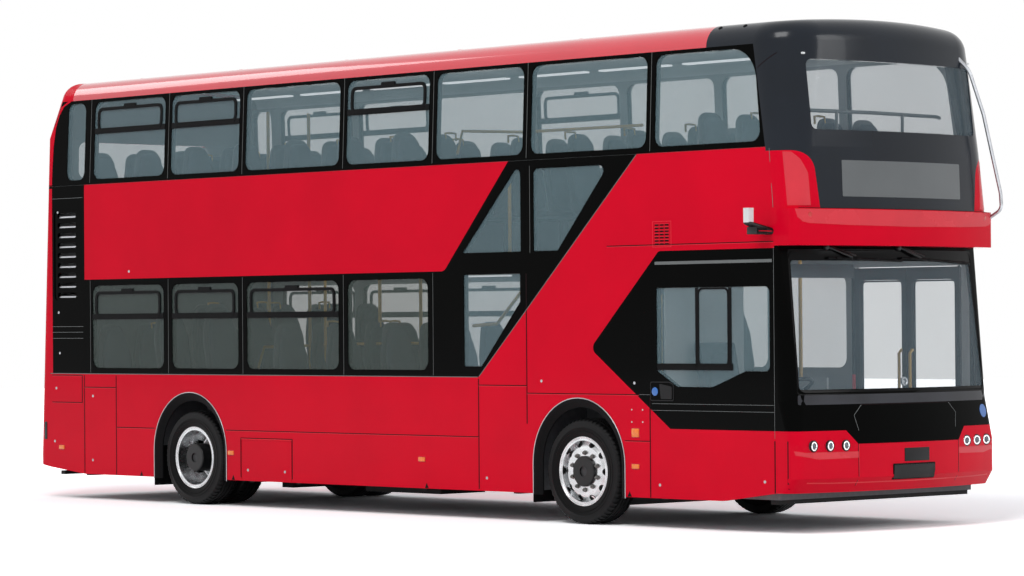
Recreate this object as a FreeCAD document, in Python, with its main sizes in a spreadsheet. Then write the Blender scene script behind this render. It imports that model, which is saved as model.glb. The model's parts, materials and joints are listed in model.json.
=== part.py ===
import FreeCAD, Part
import os
from math import atan, cos, degrees, radians, sin, sqrt, tan
from types import SimpleNamespace
from FreeCAD import Placement, Rotation, Vector

# A double decker city bus. X runs forward, Y to the nearside, Z up; the origin is on the
# ground under the middle of the bus.

SIZES = {
    # Whole bus
    "body_length": 10850.0,
    "body_half_width": 1275.0,
    "roof_level": 4300.0,
    "wheelbase": 5510.0,
    "front_axle_place": 2702.0,
    # Levels of the side panels
    "skirt_level": 258.0,
    "sill_level": 1276.0,
    "deck_level": 2236.0,
    "upper_floor_level": 2385.0,
    "upper_sill_level": 3204.0,
    "cove_level": 4076.0,
    "roof_half_width": 1238.0,
    "crown_rise": 38.0,
    "cove_radius": 200.0,
    # Walls
    "wall_thickness": 60.0,
    "glass_thickness": 8.0,
    "glass_depth": 8.0,
    "seat_gap": 0.3,
    "running_gap": 6.0,
    "cut_overrun": 400.0,
    # Ends of the side panels
    "rear_joint": 5150.0,
    "front_joint": 5040.0,
    "skirt_rear_rise": 60.0,
    "skirt_front_rise": 80.0,
    "skirt_rise_length": 610.0,
    # Wheel arches
    "arch_half_width": 573.0,
    "arch_top_level": 1098.0,
    # Windows
    "pillar_half_width": 66.0,
    "upper_pillar_half_width": 52.0,
    "window_radius": 90.0,
    "lower_window_bottom": 1339.0,
    "lower_window_top": 2172.0,
    "upper_window_bottom": 3255.0,
    "upper_window_top": 4038.0,
    "front_window_rake": 100.0,
    "front_window_radius": 290.0,
    # Nose
    "face_radius": 5000.0,
    "bumper_nose": 5430.0,
    "bumper_bottom": 339.0,
    "bumper_top": 852.0,
    "bumper_corner": 100.0,
    "panel_dip": 114.0,
    "panel_dip_half_width": 640.0,
    "screen_foot_nose": 5372.0,
    "screen_foot_level": 1100.0,
    "screen_foot_corner": 170.0,
    "screen_head_nose": 5222.0,
    "screen_head_corner": 50.0,
    "brow_bottom": 2385.0,
    "brow_top": 2690.0,
    "brow_nose": 5430.0,
    "brow_corner": 80.0,
    "soffit_thickness": 20.0,
    # Upper nose
    "upper_foot_nose": 5395.0,
    "upper_foot_corner": 200.0,
    "upper_sill_nose": 5378.0,
    "upper_sill_corner": 330.0,
    "upper_head_level": 3900.0,
    "upper_head_nose": 5325.0,
    "upper_head_corner": 430.0,
    "upper_crown_level": 4400.0,
    "upper_crown_nose": 5285.0,
    "upper_crown_corner": 500.0,
    "dome_joint": 4247.0,
    # Front screens
    "screen_bottom": 1168.0,
    "screen_top": 2345.0,
    "screen_foot_half_width": 1190.0,
    "screen_head_half_width": 1160.0,
    "screen_radius": 80.0,
    "upper_screen_bottom": 3345.0,
    "upper_screen_top": 3930.0,
    "upper_screen_half_width": 1035.0,
    "cheek_inner": 985.0,
    "cheek_top": 3170.0,
    "cheek_radius": 190.0,
    # Tail
    "tail_face_radius": 10000.0,
    "tail_corner": 90.0,
    "tail_skirt_nose": 5416.0,
    "tail_low_nose": 5421.0,
    "tail_low_level": 434.0,
    "tail_deck_nose": 5333.0,
    "tail_shoulder_nose": 5288.0,
    "tail_shoulder_level": 3700.0,
    "tail_crown_nose": 5040.0,
    "tail_crown_corner": 280.0,
    "tail_joint": 4770.0,
    "tail_shoulder_joint": 4950.0,
    "rear_window_half_width": 860.0,
    "rear_window_bottom": 3300.0,
    "rear_window_top": 3680.0,
    "cover_half_width": 980.0,
    "cover_bottom": 560.0,
    "cover_top": 1560.0,
    # Diagonal bands of the offside
    "column_front": 4541.0,
    "louvre_rear": 5064.0,
    "louvre_front": 4647.0,
    "louvre_bottom": 2031.0,
    "louvre_top": 2952.0,
    "stripe_foot": 1406.0,
    "stripe_head": 3449.0,
    "red_foot": 956.0,
    "red_head": 1823.0,
    "skirt_step_place": 2047.0,
    "skirt_step_level": 1207.0,
    "skirt_front_level": 1140.0,
    "cab_tip": 2858.0,
    "cab_tip_level": 1536.0,
    "cab_tip_radius": 60.0,
    "cab_foot": 3826.0,
    "cab_head": 3700.0,
    "cab_top_level": 2366.0,
    "cab_window_rear": 3667.0,
    "cab_window_front": 4985.0,
    "cab_window_bottom": 1346.0,
    "cab_window_top": 2050.0,
    "cab_window_dip": 1210.0,
    "cab_dip_rear": 3908.0,
    "cab_dip_front": 4330.0,
    "cab_dip_end": 4709.0,
    "stair_window_rear": 1220.0,
    "stair_window_front": 1967.0,
    "stair_window_top": 2199.0,
    "stair_window_bottom": 1374.0,
    "stair_window_cut": 1950.0,
    "stair_window_toe": 1453.0,
    "mid_window_bottom": 2396.0,
    "mid_window_top": 3125.0,
    "mid_window_rear": 1206.0,
    "mid_window_heel": 1905.0,
    "mid_window_post": 1978.0,
    "mid_window_front_post": 2144.0,
    "mid_window_toe": 2454.0,
    "mid_window_head": 3095.0,
    "mid_window_radius": 50.0,
    # Doorways on the nearside
    "floor_level": 330.0,
    "entrance_rear": 3670.0,
    "entrance_front": 4950.0,
    "exit_rear": 560.0,
    "exit_front": 1800.0,
    "leaf_thickness": 40.0,
    "leaf_frame": 55.0,
    "leaf_post_gap": 30.0,
    "leaf_floor_gap": 8.0,
    "leaf_depth": 10.0,
    "pivot_radius": 12.0,
    # Side flap
    "flap_rear": 2000.0,
    "flap_front": 1240.0,
    "flap_top": 662.0,
    "flap_seal": 25.0,
    "hinge_radius": 5.7,
    "cover_hinge_place": 350.0,
    # Inside
    "slab_thickness": 50.0,
    "rear_floor_level": 620.0,
    "rear_floor_place": 1900.0,
    "bulkhead_place": 4560.0,
    "box_wall": 20.0,
    "box_inner": 600.0,
    "box_top": 1080.0,
    "lining_gap": 0.3,
    "stair_foot": 1300.0,
    "stair_going": 225.0,
    "stair_inner": 600.0,
    "stair_waist": 120.0,
    "stair_width": 605.0,
    "seat_pair_width": 900.0,
    "seat_width": 435.0,
    "seat_pitch": 790.0,
    "seat_depth": 430.0,
    "seat_height": 430.0,
    "seat_back_rise": 750.0,
    "seat_top_radius": 110.0,
    "driver_back_rise": 620.0,
    "seat_box_rise": 130.0,
    "hand_height": 900.0,
    "driver_place": 700.0,
    "dash_rear": 4840.0,
    "dash_front": 5130.0,
    "dash_level": 1120.0,
    "dash_half_width": 1100.0,
    "steering_place": 4640.0,
    "steering_level": 1180.0,
    "steering_radius": 225.0,
    "steering_tilt": 25.0,
    "louvre_thickness": 30.0,
    "seat_back_lean": 130.0,
    "seat_foam": 70.0,
    "seat_leg": 60.0,
    "pole_radius": 17.0,
    # Chassis
    "rail_half_gap": 420.0,
    "rail_width": 70.0,
    "rail_height": 38.0,
    "tank_rear": 911.0,
    "tank_front": 171.0,
    "tank_outer": 630.0,
    "tank_level": 165.0,
    "frame_rear": 5050.0,
    "frame_front": 5000.0,
    "battery_length": 420.0,
    "battery_half_width": 1050.0,
    "battery_height": 1500.0,
    "cab_floor_level": 530.0,
    "cab_aisle": 250.0,
    # Wheels
    "tyre_radius": 462.0,
    "tyre_width": 275.0,
    "bead_radius": 286.0,
    "flange_radius": 303.0,
    "rim_half_width": 105.0,
    "rim_thickness": 16.0,
    "disc_thickness": 14.0,
    "wheel_outer_face": 1240.0,
    "twin_gap": 35.0,
    "hub_bore": 45.0,
    "hub_radius": 135.0,
    "disc_flat_radius": 222.0,
    "front_disc_join": 62.0,
    "front_disc_dish": 95.0,
    "hand_circle": 243.0,
    "hand_radius": 24.0,
    "bearing_gap": 0.05,
    "kingpin_place": 985.0,
    "kingpin_radius": 25.0,
    "eye_radius": 60.0,
    "eye_height": 140.0,
    "yoke_thickness": 30.0,
    "beam_drop_level": 150.0,
    "beam_height": 80.0,
    "beam_width": 120.0,
    "arm_half_width": 48.0,
    "axle_tube_radius": 95.0,
    # Lamps and small pieces
    "lamp_radius": 48.0,
    "lamp_depth": 90.0,
    "lamp_pitch": 165.0,
    "lamp_level": 728.0,
    "lamp_inner": 770.0,
    "marker_length": 80.0,
    "marker_height": 34.0,
    "marker_depth": 14.0,
    "marker_level": 523.0,
    "indicator_level": 819.0,
    "indicator_gap": 256.0,
    "tail_lamp_place": 1110.0,
    "tail_lamp_level": 900.0,
    "tail_lamp_pitch": 120.0,
    "guard_radius": 16.0,
    "arm_reach": 235.0,
    "arm_level": 2505.0,
    "arm_rise": 70.0,
    "arm_sweep": 60.0,
    "tow_bore": 21.0,
    "tow_tube": 42.0,
    "tow_level": 634.0,
    "tow_place": 50.0,
    "tow_length": 160.0,
}

doc = FreeCAD.newDocument("bus")
sheet = doc.addObject("Spreadsheet::Sheet", "sizes")
for row, (alias, value) in enumerate(SIZES.items(), start=1):
    sheet.set(f"A{row}", alias.replace("_", " "))
    sheet.set(f"B{row}", str(value))
    sheet.setAlias(f"B{row}", alias)
doc.recompute()
s = SimpleNamespace(**{alias: float(sheet.get(alias)) for alias in SIZES})

AXIS_X = Vector(1, 0, 0)
AXIS_Y = Vector(0, 1, 0)
AXIS_Z = Vector(0, 0, 1)
SIDES = {"offside": -1, "nearside": 1}
rear_axle_place = s.front_axle_place - s.wheelbase
lean = (s.body_half_width - s.roof_half_width) / (s.cove_level - s.upper_sill_level)
lean_angle = atan(lean)

# Posts between the windows, as shares of the body's length from its middle
PILLAR_SHARES = (-0.2911, -0.1821, -0.0431, 0.0734, 0.1896, 0.3322)
pillars = [s.body_length * share for share in PILLAR_SHARES]

# Bends of the branch guard, as (X, Y, Z)
GUARD_POINTS = (
    (5140, 800, 4130),
    (5300, 925, 3915),
    (5345, 1060, 3535),
    (5380, 1240, 2850),
    (5385, 1245, 2715),
    (5240, 1225, 2630),
)

nodes = {}


# Outlines
def outline(points):
    """Closed outline through corner points (x, y) or (x, y, radius)."""
    corners = [(Vector(p[0], p[1], 0), p[2] if len(p) > 2 else 0.0) for p in points]
    count = len(corners)
    starts, ends, mids = [], [], []
    for i, (here, radius) in enumerate(corners):
        back = corners[i - 1][0] - here
        ahead = corners[(i + 1) % count][0] - here
        back.normalize()
        ahead.normalize()
        opening = back.getAngle(ahead)
        reach = radius / tan(opening / 2) if radius else 0.0
        starts.append(here + back * reach)
        ends.append(here + ahead * reach)
        middle = back + ahead
        if radius:
            middle.normalize()
            mids.append(here + middle * (radius / sin(opening / 2) - radius))
        else:
            mids.append(None)
    edges = []
    for i in range(count):
        if mids[i] is not None:
            edges.append(Part.Arc(starts[i], mids[i], ends[i]))
        far = starts[(i + 1) % count]
        if (far - ends[i]).Length > s.bearing_gap:
            edges.append(Part.LineSegment(ends[i], far))
    return edges


def rectangle(left, right, bottom, top, radius=0.0):
    """Rectangle with rounded corners."""
    return outline([(left, bottom, radius), (right, bottom, radius), (right, top, radius), (left, top, radius)])


def face_of(edges):
    """Flat face inside an outline."""
    return Part.Face(Part.Wire(Part.__sortEdges__([edge.toShape() for edge in edges])))


def across(edges, low, high):
    """Prism of an outline in X and Z, from Y low to Y high."""
    face = face_of(edges)
    face.rotate(Vector(), AXIS_X, 90)
    face.translate(AXIS_Y * low)
    return face.extrude(AXIS_Y * (high - low))


def along(edges, low, high):
    """Prism of an outline in Y and Z, from X low to X high."""
    face = face_of(edges)
    face.rotate(Vector(), AXIS_X, 90)
    face.rotate(Vector(), AXIS_Z, 90)
    face.translate(AXIS_X * low)
    return face.extrude(AXIS_X * (high - low))


def up(edges, low, high):
    """Prism of an outline in X and Y, from Z low to Z high."""
    face = face_of(edges)
    face.translate(AXIS_Z * low)
    return face.extrude(AXIS_Z * (high - low))


def slab(x_low, x_high, y_low, y_high, z_low, z_high):
    """Block between two corners."""
    return Part.makeBox(x_high - x_low, y_high - y_low, z_high - z_low, Vector(x_low, y_low, z_low))


def rod(start, end, radius):
    """Round bar between two points."""
    return Part.makeCylinder(radius, (end - start).Length, start, end - start)


def mirrored(shape):
    """The same shape on the other side of the bus."""
    return shape.mirror(Vector(), AXIS_Y)


def fused(shapes):
    """One shape from several that touch."""
    whole = shapes[0].fuse(shapes[1:]) if len(shapes) > 1 else shapes[0]
    return whole.removeSplitter()


def keep(label, shape):
    """Sub-part whose shape is set here."""
    feature = doc.addObject("Part::Feature", label)
    feature.Label = label
    feature.Shape = shape
    feature.Placement = Placement()
    nodes[label] = feature
    return feature


def origin_plane(body, role):
    """Origin plane of a body by its role."""
    return next(item for item in body.Origin.OriginFeatures if item.Role == role)


def new_body(label, listed=True):
    """Empty body; listed ones are written out."""
    body = doc.addObject("PartDesign::Body", label)
    body.Label = label
    if "AllowCompound" in body.PropertiesList:
        body.AllowCompound = True
    if listed:
        nodes[label] = body
    return body


def sketch_on(body, role, loops):
    """Sketch of closed loops on one of a body's origin planes."""
    sketch = body.newObject("Sketcher::SketchObject", f"{body.Name}_sketch")
    sketch.AttachmentSupport = (origin_plane(body, role), [""])
    sketch.MapMode = "FlatFace"
    for loop in loops:
        sketch.addGeometry(loop, False)
    return sketch


def plate(label, loops, thickness, place, listed=True):
    """Flat panel: loops in X and Z padded towards the offside."""
    body = new_body(label, listed)
    pad = body.newObject("PartDesign::Pad", f"{label}_pad")
    pad.Profile = sketch_on(body, "XZ_Plane", loops)
    pad.setExpression("Length", thickness)
    body.Placement = place
    return body


def turned(label, loops, place, listed=True):
    """Body turned about its own Y axis; loops hold radius and Y."""
    body = new_body(label, listed)
    sketch = sketch_on(body, "XY_Plane", loops)
    turn = body.newObject("PartDesign::Revolution", f"{label}_turn")
    turn.Profile = sketch
    turn.ReferenceAxis = (sketch, ["V_Axis"])
    turn.Angle = 360
    body.Placement = place
    return body


def side_place(side, depth=0.0):
    """Placement of a flat side panel whose outer face lies depth inside the body side."""
    if side > 0:
        return Placement(Vector(0, s.body_half_width - depth, 0), Rotation())
    return Placement(Vector(0, depth + s.wall_thickness - s.body_half_width, 0), Rotation())


def leaning_place(side, depth, thickness):
    """Placement of a panel of the upper window band, whose X axis is its lower edge."""
    turn = Rotation(AXIS_X, side * degrees(lean_angle))
    reach = depth if side > 0 else depth + thickness
    foot = Vector(0, side * s.body_half_width, s.upper_sill_level)
    return Placement(foot - turn.multVec(AXIS_Y * side * reach), turn)


# Rounded ends of the body
def half_width_at(level):
    """Half width of the body at a level."""
    return s.body_half_width - max(0.0, level - s.upper_sill_level) * lean


def end_wire(level, nose, corner, back, inset, face_radius):
    """Plan outline of a rounded end at one level."""
    radius, corner = face_radius - inset, corner - inset
    half = half_width_at(level) - inset
    centre = nose - face_radius
    side = half - corner
    turn = centre + sqrt((radius - corner) ** 2 - side ** 2)
    outward = Vector(turn - centre, side, 0).normalize()
    tangent = Vector(centre, 0, 0) + outward * radius
    middle = Vector(turn, side, 0) + (AXIS_Y + outward).normalize() * corner

    def at(x, y):
        return Vector(x, y, level)

    return Part.Wire([
        Part.makeLine(at(back, -half), at(turn, -half)),
        Part.Arc(at(turn, -half), at(middle.x, -middle.y), at(tangent.x, -tangent.y)).toShape(),
        Part.Arc(at(tangent.x, -tangent.y), at(nose - inset, 0), at(tangent.x, tangent.y)).toShape(),
        Part.Arc(at(tangent.x, tangent.y), at(middle.x, middle.y), at(turn, half)).toShape(),
        Part.makeLine(at(turn, half), at(back, half)),
        Part.makeLine(at(back, half), at(back, -half)),
    ])


def end_block(stations, back, inset, face_radius):
    """Solid rounded end through its stations (level, nose, corner)."""
    wires = [end_wire(level, nose, corner, back, inset, face_radius) for level, nose, corner in stations]
    return Part.makeLoft(wires, True, True)


crown_half = s.roof_half_width - s.cove_radius
crown_radius = (crown_half ** 2 + s.crown_rise ** 2) / (2 * s.crown_rise)

def crown_cylinder(inset):
    """Long cylinder whose top is the crowned roof."""
    length = s.body_length + 2 * s.cut_overrun
    start = Vector(-length / 2, 0, s.roof_level - crown_radius)
    return Part.makeCylinder(crown_radius - inset, length, start, AXIS_X)


def crowned_end(stations, back, inset, face_radius):
    """Rounded end under the crowned roof, with its top edge rounded."""
    block = end_block(stations, back, inset, face_radius).common(crown_cylinder(inset))
    floor = s.roof_level - inset - s.crown_rise * 4
    top = [edge for edge in block.Edges
           if edge.BoundBox.ZMin > floor and edge.BoundBox.XMax > back + s.seat_gap]
    return block.makeFillet(s.cove_radius - inset, top)


def shell(solid_at, thickness, depth=0.0):
    """Wall between two insets of the same solid."""
    return solid_at(depth).cut(solid_at(depth + thickness))


lower_nose_stations = (
    (s.bumper_bottom, s.bumper_nose - s.skirt_front_rise, s.bumper_corner),
    (s.bumper_bottom + s.skirt_front_rise * 1.5, s.bumper_nose, s.bumper_corner),
    (s.bumper_top - s.panel_dip, s.bumper_nose, s.bumper_corner),
    (s.screen_foot_level, s.screen_foot_nose, s.screen_foot_corner),
    (s.brow_bottom, s.screen_head_nose, s.screen_head_corner),
)
brow_stations = (
    (s.brow_bottom, s.brow_nose, s.brow_corner),
    (s.brow_top, s.brow_nose, s.brow_corner),
)
upper_nose_stations = (
    (s.brow_top, s.upper_foot_nose, s.upper_foot_corner),
    (s.upper_sill_level, s.upper_sill_nose, s.upper_sill_corner),
    (s.upper_head_level, s.upper_head_nose, s.upper_head_corner),
    (s.upper_crown_level, s.upper_crown_nose, s.upper_crown_corner),
)
tail_stations = (
    (s.skirt_level, s.tail_skirt_nose, s.tail_corner),
    (s.tail_low_level, s.tail_low_nose, s.tail_corner),
    (s.deck_level, s.tail_deck_nose, s.tail_corner),
    (s.tail_shoulder_level, s.tail_shoulder_nose, s.tail_corner),
    (s.upper_crown_level, s.tail_crown_nose, s.tail_crown_corner),
)


def lower_nose(inset):
    """Solid of the lower nose."""
    block = end_block(lower_nose_stations, s.front_joint - s.wall_thickness, inset, s.face_radius)
    front = slab(s.front_joint, s.body_length, -s.body_length, s.body_length, 0, s.roof_level)
    return block.common(front)


def brow_block(inset):
    """Solid of the brow."""
    return end_block(brow_stations, s.front_joint, inset, s.face_radius)


def upper_nose(inset):
    """Solid of the upper nose."""
    return crowned_end(upper_nose_stations, s.dome_joint, inset, s.face_radius)


def tail(inset):
    """Solid of the tail."""
    block = crowned_end(tail_stations, s.tail_joint, inset, s.tail_face_radius)
    block.rotate(Vector(), AXIS_Z, 180)
    return block


# Side skirts with the wheel arches
def arch_notch(place):
    """Corner points of one wheel arch, walked from the rear along the skirt's lower edge."""
    rear, front = place - s.arch_half_width, place + s.arch_half_width
    return [
        (rear, s.skirt_level),
        (rear, s.arch_top_level, s.arch_half_width),
        (front, s.arch_top_level, s.arch_half_width),
        (front, s.skirt_level),
    ]


rear_foot = s.skirt_level + s.skirt_rear_rise
front_foot = s.skirt_level + s.skirt_front_rise
lower_edge = [
    (-s.rear_joint, rear_foot),
    (-s.rear_joint + s.skirt_rise_length, s.skirt_level),
    *arch_notch(rear_axle_place),
]
front_edge = [
    *arch_notch(s.front_axle_place),
    (s.front_joint - s.skirt_rise_length, s.skirt_level),
    (s.front_joint, front_foot),
]
flap_notch = [
    (-s.flap_rear, s.skirt_level),
    (-s.flap_rear, s.flap_top),
    (-s.flap_front, s.flap_top),
    (-s.flap_front, s.skirt_level),
]
cab_edge_foot = s.cab_tip + (s.cab_tip_level - s.skirt_front_level) * (
    (s.cab_foot - s.cab_tip) / (s.cab_tip_level - s.bumper_top))
offside_skirt = outline([
    *lower_edge,
    *flap_notch,
    *front_edge,
    (s.front_joint, s.bumper_top),
    (s.cab_foot, s.bumper_top),
    (cab_edge_foot, s.skirt_front_level),
    (s.skirt_step_place, s.skirt_front_level),
    (s.skirt_step_place, s.skirt_step_level),
    (s.stripe_foot, s.skirt_step_level),
    (s.stripe_foot, s.sill_level),
    (-s.rear_joint, s.sill_level),
])
nearside_skirt = outline([
    *lower_edge,
    *front_edge,
    (s.front_joint, s.bumper_top),
    (s.entrance_front, s.bumper_top),
    (s.entrance_front, s.floor_level),
    (s.entrance_rear, s.floor_level),
    (s.entrance_rear, s.sill_level),
    (s.exit_front, s.sill_level),
    (s.exit_front, s.floor_level),
    (s.exit_rear, s.floor_level),
    (s.exit_rear, s.sill_level),
    (-s.rear_joint, s.sill_level),
])
skirt = plate("offside_skirt", [offside_skirt], "sizes.wall_thickness", side_place(-1))
rebate_inner = s.flap_seal
rebate_pad = skirt.newObject("PartDesign::Pad", "flap_rebate")
rebate_pad.Profile = sketch_on(skirt, "XZ_Plane", [outline([
    (-s.flap_rear, s.skirt_level),
    (rebate_inner - s.flap_rear, s.skirt_level),
    (rebate_inner - s.flap_rear, s.flap_top - rebate_inner),
    (-s.flap_front - rebate_inner, s.flap_top - rebate_inner),
    (-s.flap_front - rebate_inner, s.skirt_level),
    (-s.flap_front, s.skirt_level),
    (-s.flap_front, s.flap_top),
    (-s.flap_rear, s.flap_top),
])])
rebate_pad.setExpression("Length", "sizes.wall_thickness - sizes.leaf_thickness - sizes.seat_gap")
plate("nearside_skirt", [nearside_skirt], "sizes.wall_thickness", side_place(1))

# Windows
post = s.pillar_half_width
lower_windows = [
    (-s.column_front + 2 * post, pillars[0] - post),
    (pillars[0] + post, pillars[1] - post),
    (pillars[1] + post, pillars[2] - post),
]
fourth_window = (pillars[2] + post, pillars[3] - post)
post = s.upper_pillar_half_width
upper_posts = [-s.column_front + 2 * post, *pillars]
upper_windows = [(left + post, right - post) for left, right in zip(upper_posts, upper_posts[1:])]
quarter_window = (-s.tail_shoulder_joint + 2 * post, -s.column_front)


def lower_window(span, gap=0.0):
    """Loop of one lower saloon window, shrunk by a gap."""
    return rectangle(span[0] + gap, span[1] - gap, s.lower_window_bottom + gap, s.lower_window_top - gap,
                     s.window_radius - gap)


def stair_windows(gap=0.0):
    """Loops of the slanted windows beside the stair, shrunk by a gap."""
    low = outline([
        (s.stair_window_rear + gap, s.stair_window_bottom + gap),
        (s.stair_window_toe - gap / 2, s.stair_window_bottom + gap),
        (s.stair_window_front - gap, s.stair_window_cut + gap / 2),
        (s.stair_window_front - gap, s.stair_window_top - gap),
        (s.stair_window_rear + gap, s.stair_window_top - gap),
    ])
    rear = outline([
        (s.mid_window_rear + 2 * gap, s.mid_window_bottom + gap),
        (s.mid_window_post - gap, s.mid_window_bottom + gap),
        (s.mid_window_post - gap, s.mid_window_top - gap, s.mid_window_radius),
        (s.mid_window_heel + gap / 2, s.mid_window_top - gap, s.mid_window_radius),
    ])
    front = outline([
        (s.mid_window_front_post + gap, s.mid_window_bottom + gap),
        (s.mid_window_toe - gap / 2, s.mid_window_bottom + gap),
        (s.mid_window_head - 2 * gap, s.mid_window_top - gap, s.mid_window_radius),
        (s.mid_window_front_post + gap, s.mid_window_top - gap, s.mid_window_radius),
    ])
    return [low, rear, front]


def cab_window(gap=0.0):
    """Loop of the driver's side window with its dipped lower edge."""
    return outline([
        (s.cab_window_rear + gap, s.cab_window_bottom + gap),
        (s.cab_dip_rear + gap, s.cab_window_dip + gap),
        (s.cab_dip_front - gap, s.cab_window_dip + gap),
        (s.cab_dip_end - gap, s.cab_window_bottom + gap),
        (s.cab_window_front - gap, s.cab_window_bottom + gap, s.mid_window_radius),
        (s.cab_window_front - gap, s.cab_window_top - gap, s.mid_window_radius),
        (s.cab_window_rear + gap, s.cab_window_top - gap),
    ])


# Nearside windows between the two doorways and behind the exit
exit_window = (pillars[2] + s.pillar_half_width, s.exit_rear - s.pillar_half_width)
arch_windows = [
    (s.exit_front + s.pillar_half_width, s.front_axle_place - s.pillar_half_width),
    (s.front_axle_place + s.pillar_half_width, s.entrance_rear - s.pillar_half_width),
]

# Black bands of the lower deck
offside_black = outline([
    (-s.rear_joint, s.sill_level),
    (s.stripe_foot, s.sill_level),
    (s.stripe_head, s.upper_sill_level),
    (s.red_head, s.upper_sill_level),
    (s.red_foot, s.deck_level, s.window_radius),
    (-s.column_front, s.deck_level),
    (-s.column_front, s.upper_sill_level),
    (-s.rear_joint, s.upper_sill_level),
])
louvre_loop = rectangle(-s.louvre_rear, -s.louvre_front, s.louvre_bottom, s.louvre_top, s.mid_window_radius)
cab_panel = outline([
    (s.cab_tip, s.cab_tip_level, s.cab_tip_radius),
    (s.cab_foot, s.bumper_top),
    (s.front_joint, s.bumper_top),
    (s.front_joint, s.cab_top_level),
    (s.cab_head, s.cab_top_level, s.cab_tip_radius),
])
offside_lower_loops = [
    offside_black, louvre_loop, *[lower_window(span) for span in (*lower_windows, fourth_window)],
    *stair_windows(), cab_panel, cab_window(),
]
plate("offside_lower_band", offside_lower_loops, "sizes.wall_thickness", side_place(-1))
nearside_black = [
    outline([
        (-s.rear_joint, s.sill_level),
        (s.exit_rear, s.sill_level),
        (s.exit_rear, s.deck_level),
        (-s.column_front, s.deck_level),
        (-s.column_front, s.upper_sill_level),
        (-s.rear_joint, s.upper_sill_level),
    ]),
    rectangle(s.exit_front, s.entrance_rear, s.sill_level, s.deck_level),
    rectangle(s.entrance_front, s.front_joint, s.bumper_top, s.deck_level),
    *[lower_window(span) for span in (*lower_windows, exit_window, *arch_windows)],
]
plate("nearside_lower_band", nearside_black, "sizes.wall_thickness", side_place(1))

# Red panels of the side between the decks
dome_foot = end_wire(s.upper_sill_level, s.upper_sill_nose, s.upper_sill_corner, s.dome_joint, 0.0,
                     s.face_radius).Vertexes
dome_head = end_wire(s.upper_head_level, s.upper_head_nose, s.upper_head_corner, s.dome_joint, 0.0,
                     s.face_radius).Vertexes
dome_foot_place = sorted(vertex.X for vertex in dome_foot)[2]
dome_head_place = sorted(vertex.X for vertex in dome_head)[2]
dome_rake = (dome_foot_place - dome_head_place) / (s.upper_head_level - s.upper_sill_level)
offside_red_rear = outline([
    (-s.column_front, s.deck_level),
    (s.red_foot, s.deck_level, s.window_radius),
    (s.red_head, s.upper_sill_level),
    (-s.column_front, s.upper_sill_level),
])
offside_red_front = outline([
    (s.stripe_foot, s.skirt_step_level),
    (s.skirt_step_place, s.skirt_step_level),
    (s.skirt_step_place, s.skirt_front_level),
    (cab_edge_foot, s.skirt_front_level),
    (s.cab_tip, s.cab_tip_level, s.cab_tip_radius),
    (s.cab_head, s.cab_top_level, s.cab_tip_radius),
    (s.front_joint, s.cab_top_level),
    (s.front_joint, s.brow_top),
    (dome_foot_place, s.upper_sill_level),
    (s.stripe_head, s.upper_sill_level),
    (s.stripe_foot, s.sill_level),
])
nearside_red = outline([
    (-s.column_front, s.deck_level),
    (s.front_joint, s.deck_level),
    (s.front_joint, s.brow_top),
    (dome_foot_place, s.upper_sill_level),
    (-s.column_front, s.upper_sill_level),
])
offside_red_body = plate("offside_red", [offside_red_rear, offside_red_front], "sizes.wall_thickness",
                         side_place(-1), listed=False)
nearside_red_body = plate("nearside_red", [nearside_red], "sizes.wall_thickness", side_place(1), listed=False)


def joined(label, parts):
    """Sub-part of several pieces that don't touch."""
    compound = doc.addObject("Part::Compound", label)
    compound.Label = label
    compound.Links = parts
    nodes[label] = compound
    return compound


def merged(label, parts, listed=True):
    """Sub-part of several pieces that touch."""
    fuse = doc.addObject("Part::MultiFuse", label)
    fuse.Label = label
    fuse.Shapes = parts
    fuse.Refine = True
    if listed:
        nodes[label] = fuse
    return fuse


joined("red_side_panels", [offside_red_body, nearside_red_body])

# Edge where the crowned roof meets the leaning sides
crown_centre = Vector(0, s.roof_level - crown_radius, 0)
up_side, out_side = Vector(-sin(lean_angle), cos(lean_angle), 0), Vector(cos(lean_angle), sin(lean_angle), 0)
side_start = Vector(s.body_half_width, s.upper_sill_level, 0) - out_side * s.cove_radius - crown_centre
start_run = side_start.dot(up_side)
upper_slope = sqrt(start_run ** 2 - side_start.dot(side_start) + (crown_radius - s.cove_radius) ** 2) - start_run
cove_centre = crown_centre + side_start + up_side * upper_slope
cove_edge = s.upper_sill_level + upper_slope * cos(lean_angle)
dome_cove_place = dome_foot_place - dome_rake * (cove_edge - s.upper_sill_level)

# Upper window bands, which lean in
shoulder_rise = (s.tail_shoulder_level - s.upper_sill_level) / cos(lean_angle)
low_sill = s.upper_window_bottom - s.upper_sill_level
top_sill = (s.upper_window_top - s.upper_sill_level) / cos(lean_angle)


def upper_loops(gap=0.0):
    """Loops of the upper windows, shrunk by a gap."""
    loops = [rectangle(left + gap, right - gap, low_sill + gap, top_sill - gap, s.window_radius - gap)
             for left, right in (quarter_window, *upper_windows)]
    left = pillars[-1] + s.upper_pillar_half_width + gap
    right = dome_foot_place - s.upper_pillar_half_width - gap
    loops.append(outline([
        (left, low_sill + gap, s.window_radius - gap),
        (right, low_sill + gap, s.window_radius - gap),
        (right - s.front_window_rake, top_sill - gap, s.front_window_radius - gap),
        (left, top_sill - gap, s.window_radius - gap),
    ]))
    return loops


band_foot = s.wall_thickness * tan(lean_angle) + s.seat_gap
upper_band = outline([
    (-s.rear_joint, band_foot),
    (dome_foot_place - dome_rake * band_foot, band_foot),
    (dome_cove_place, upper_slope),
    (-s.tail_shoulder_joint, upper_slope),
    (-s.rear_joint, shoulder_rise),
])
bands = [plate(f"{name}_upper_band", [upper_band, *upper_loops()], "sizes.wall_thickness",
               leaning_place(side, 0.0, s.wall_thickness), listed=False) for name, side in SIDES.items()]
joined("upper_window_bands", bands)

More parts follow.
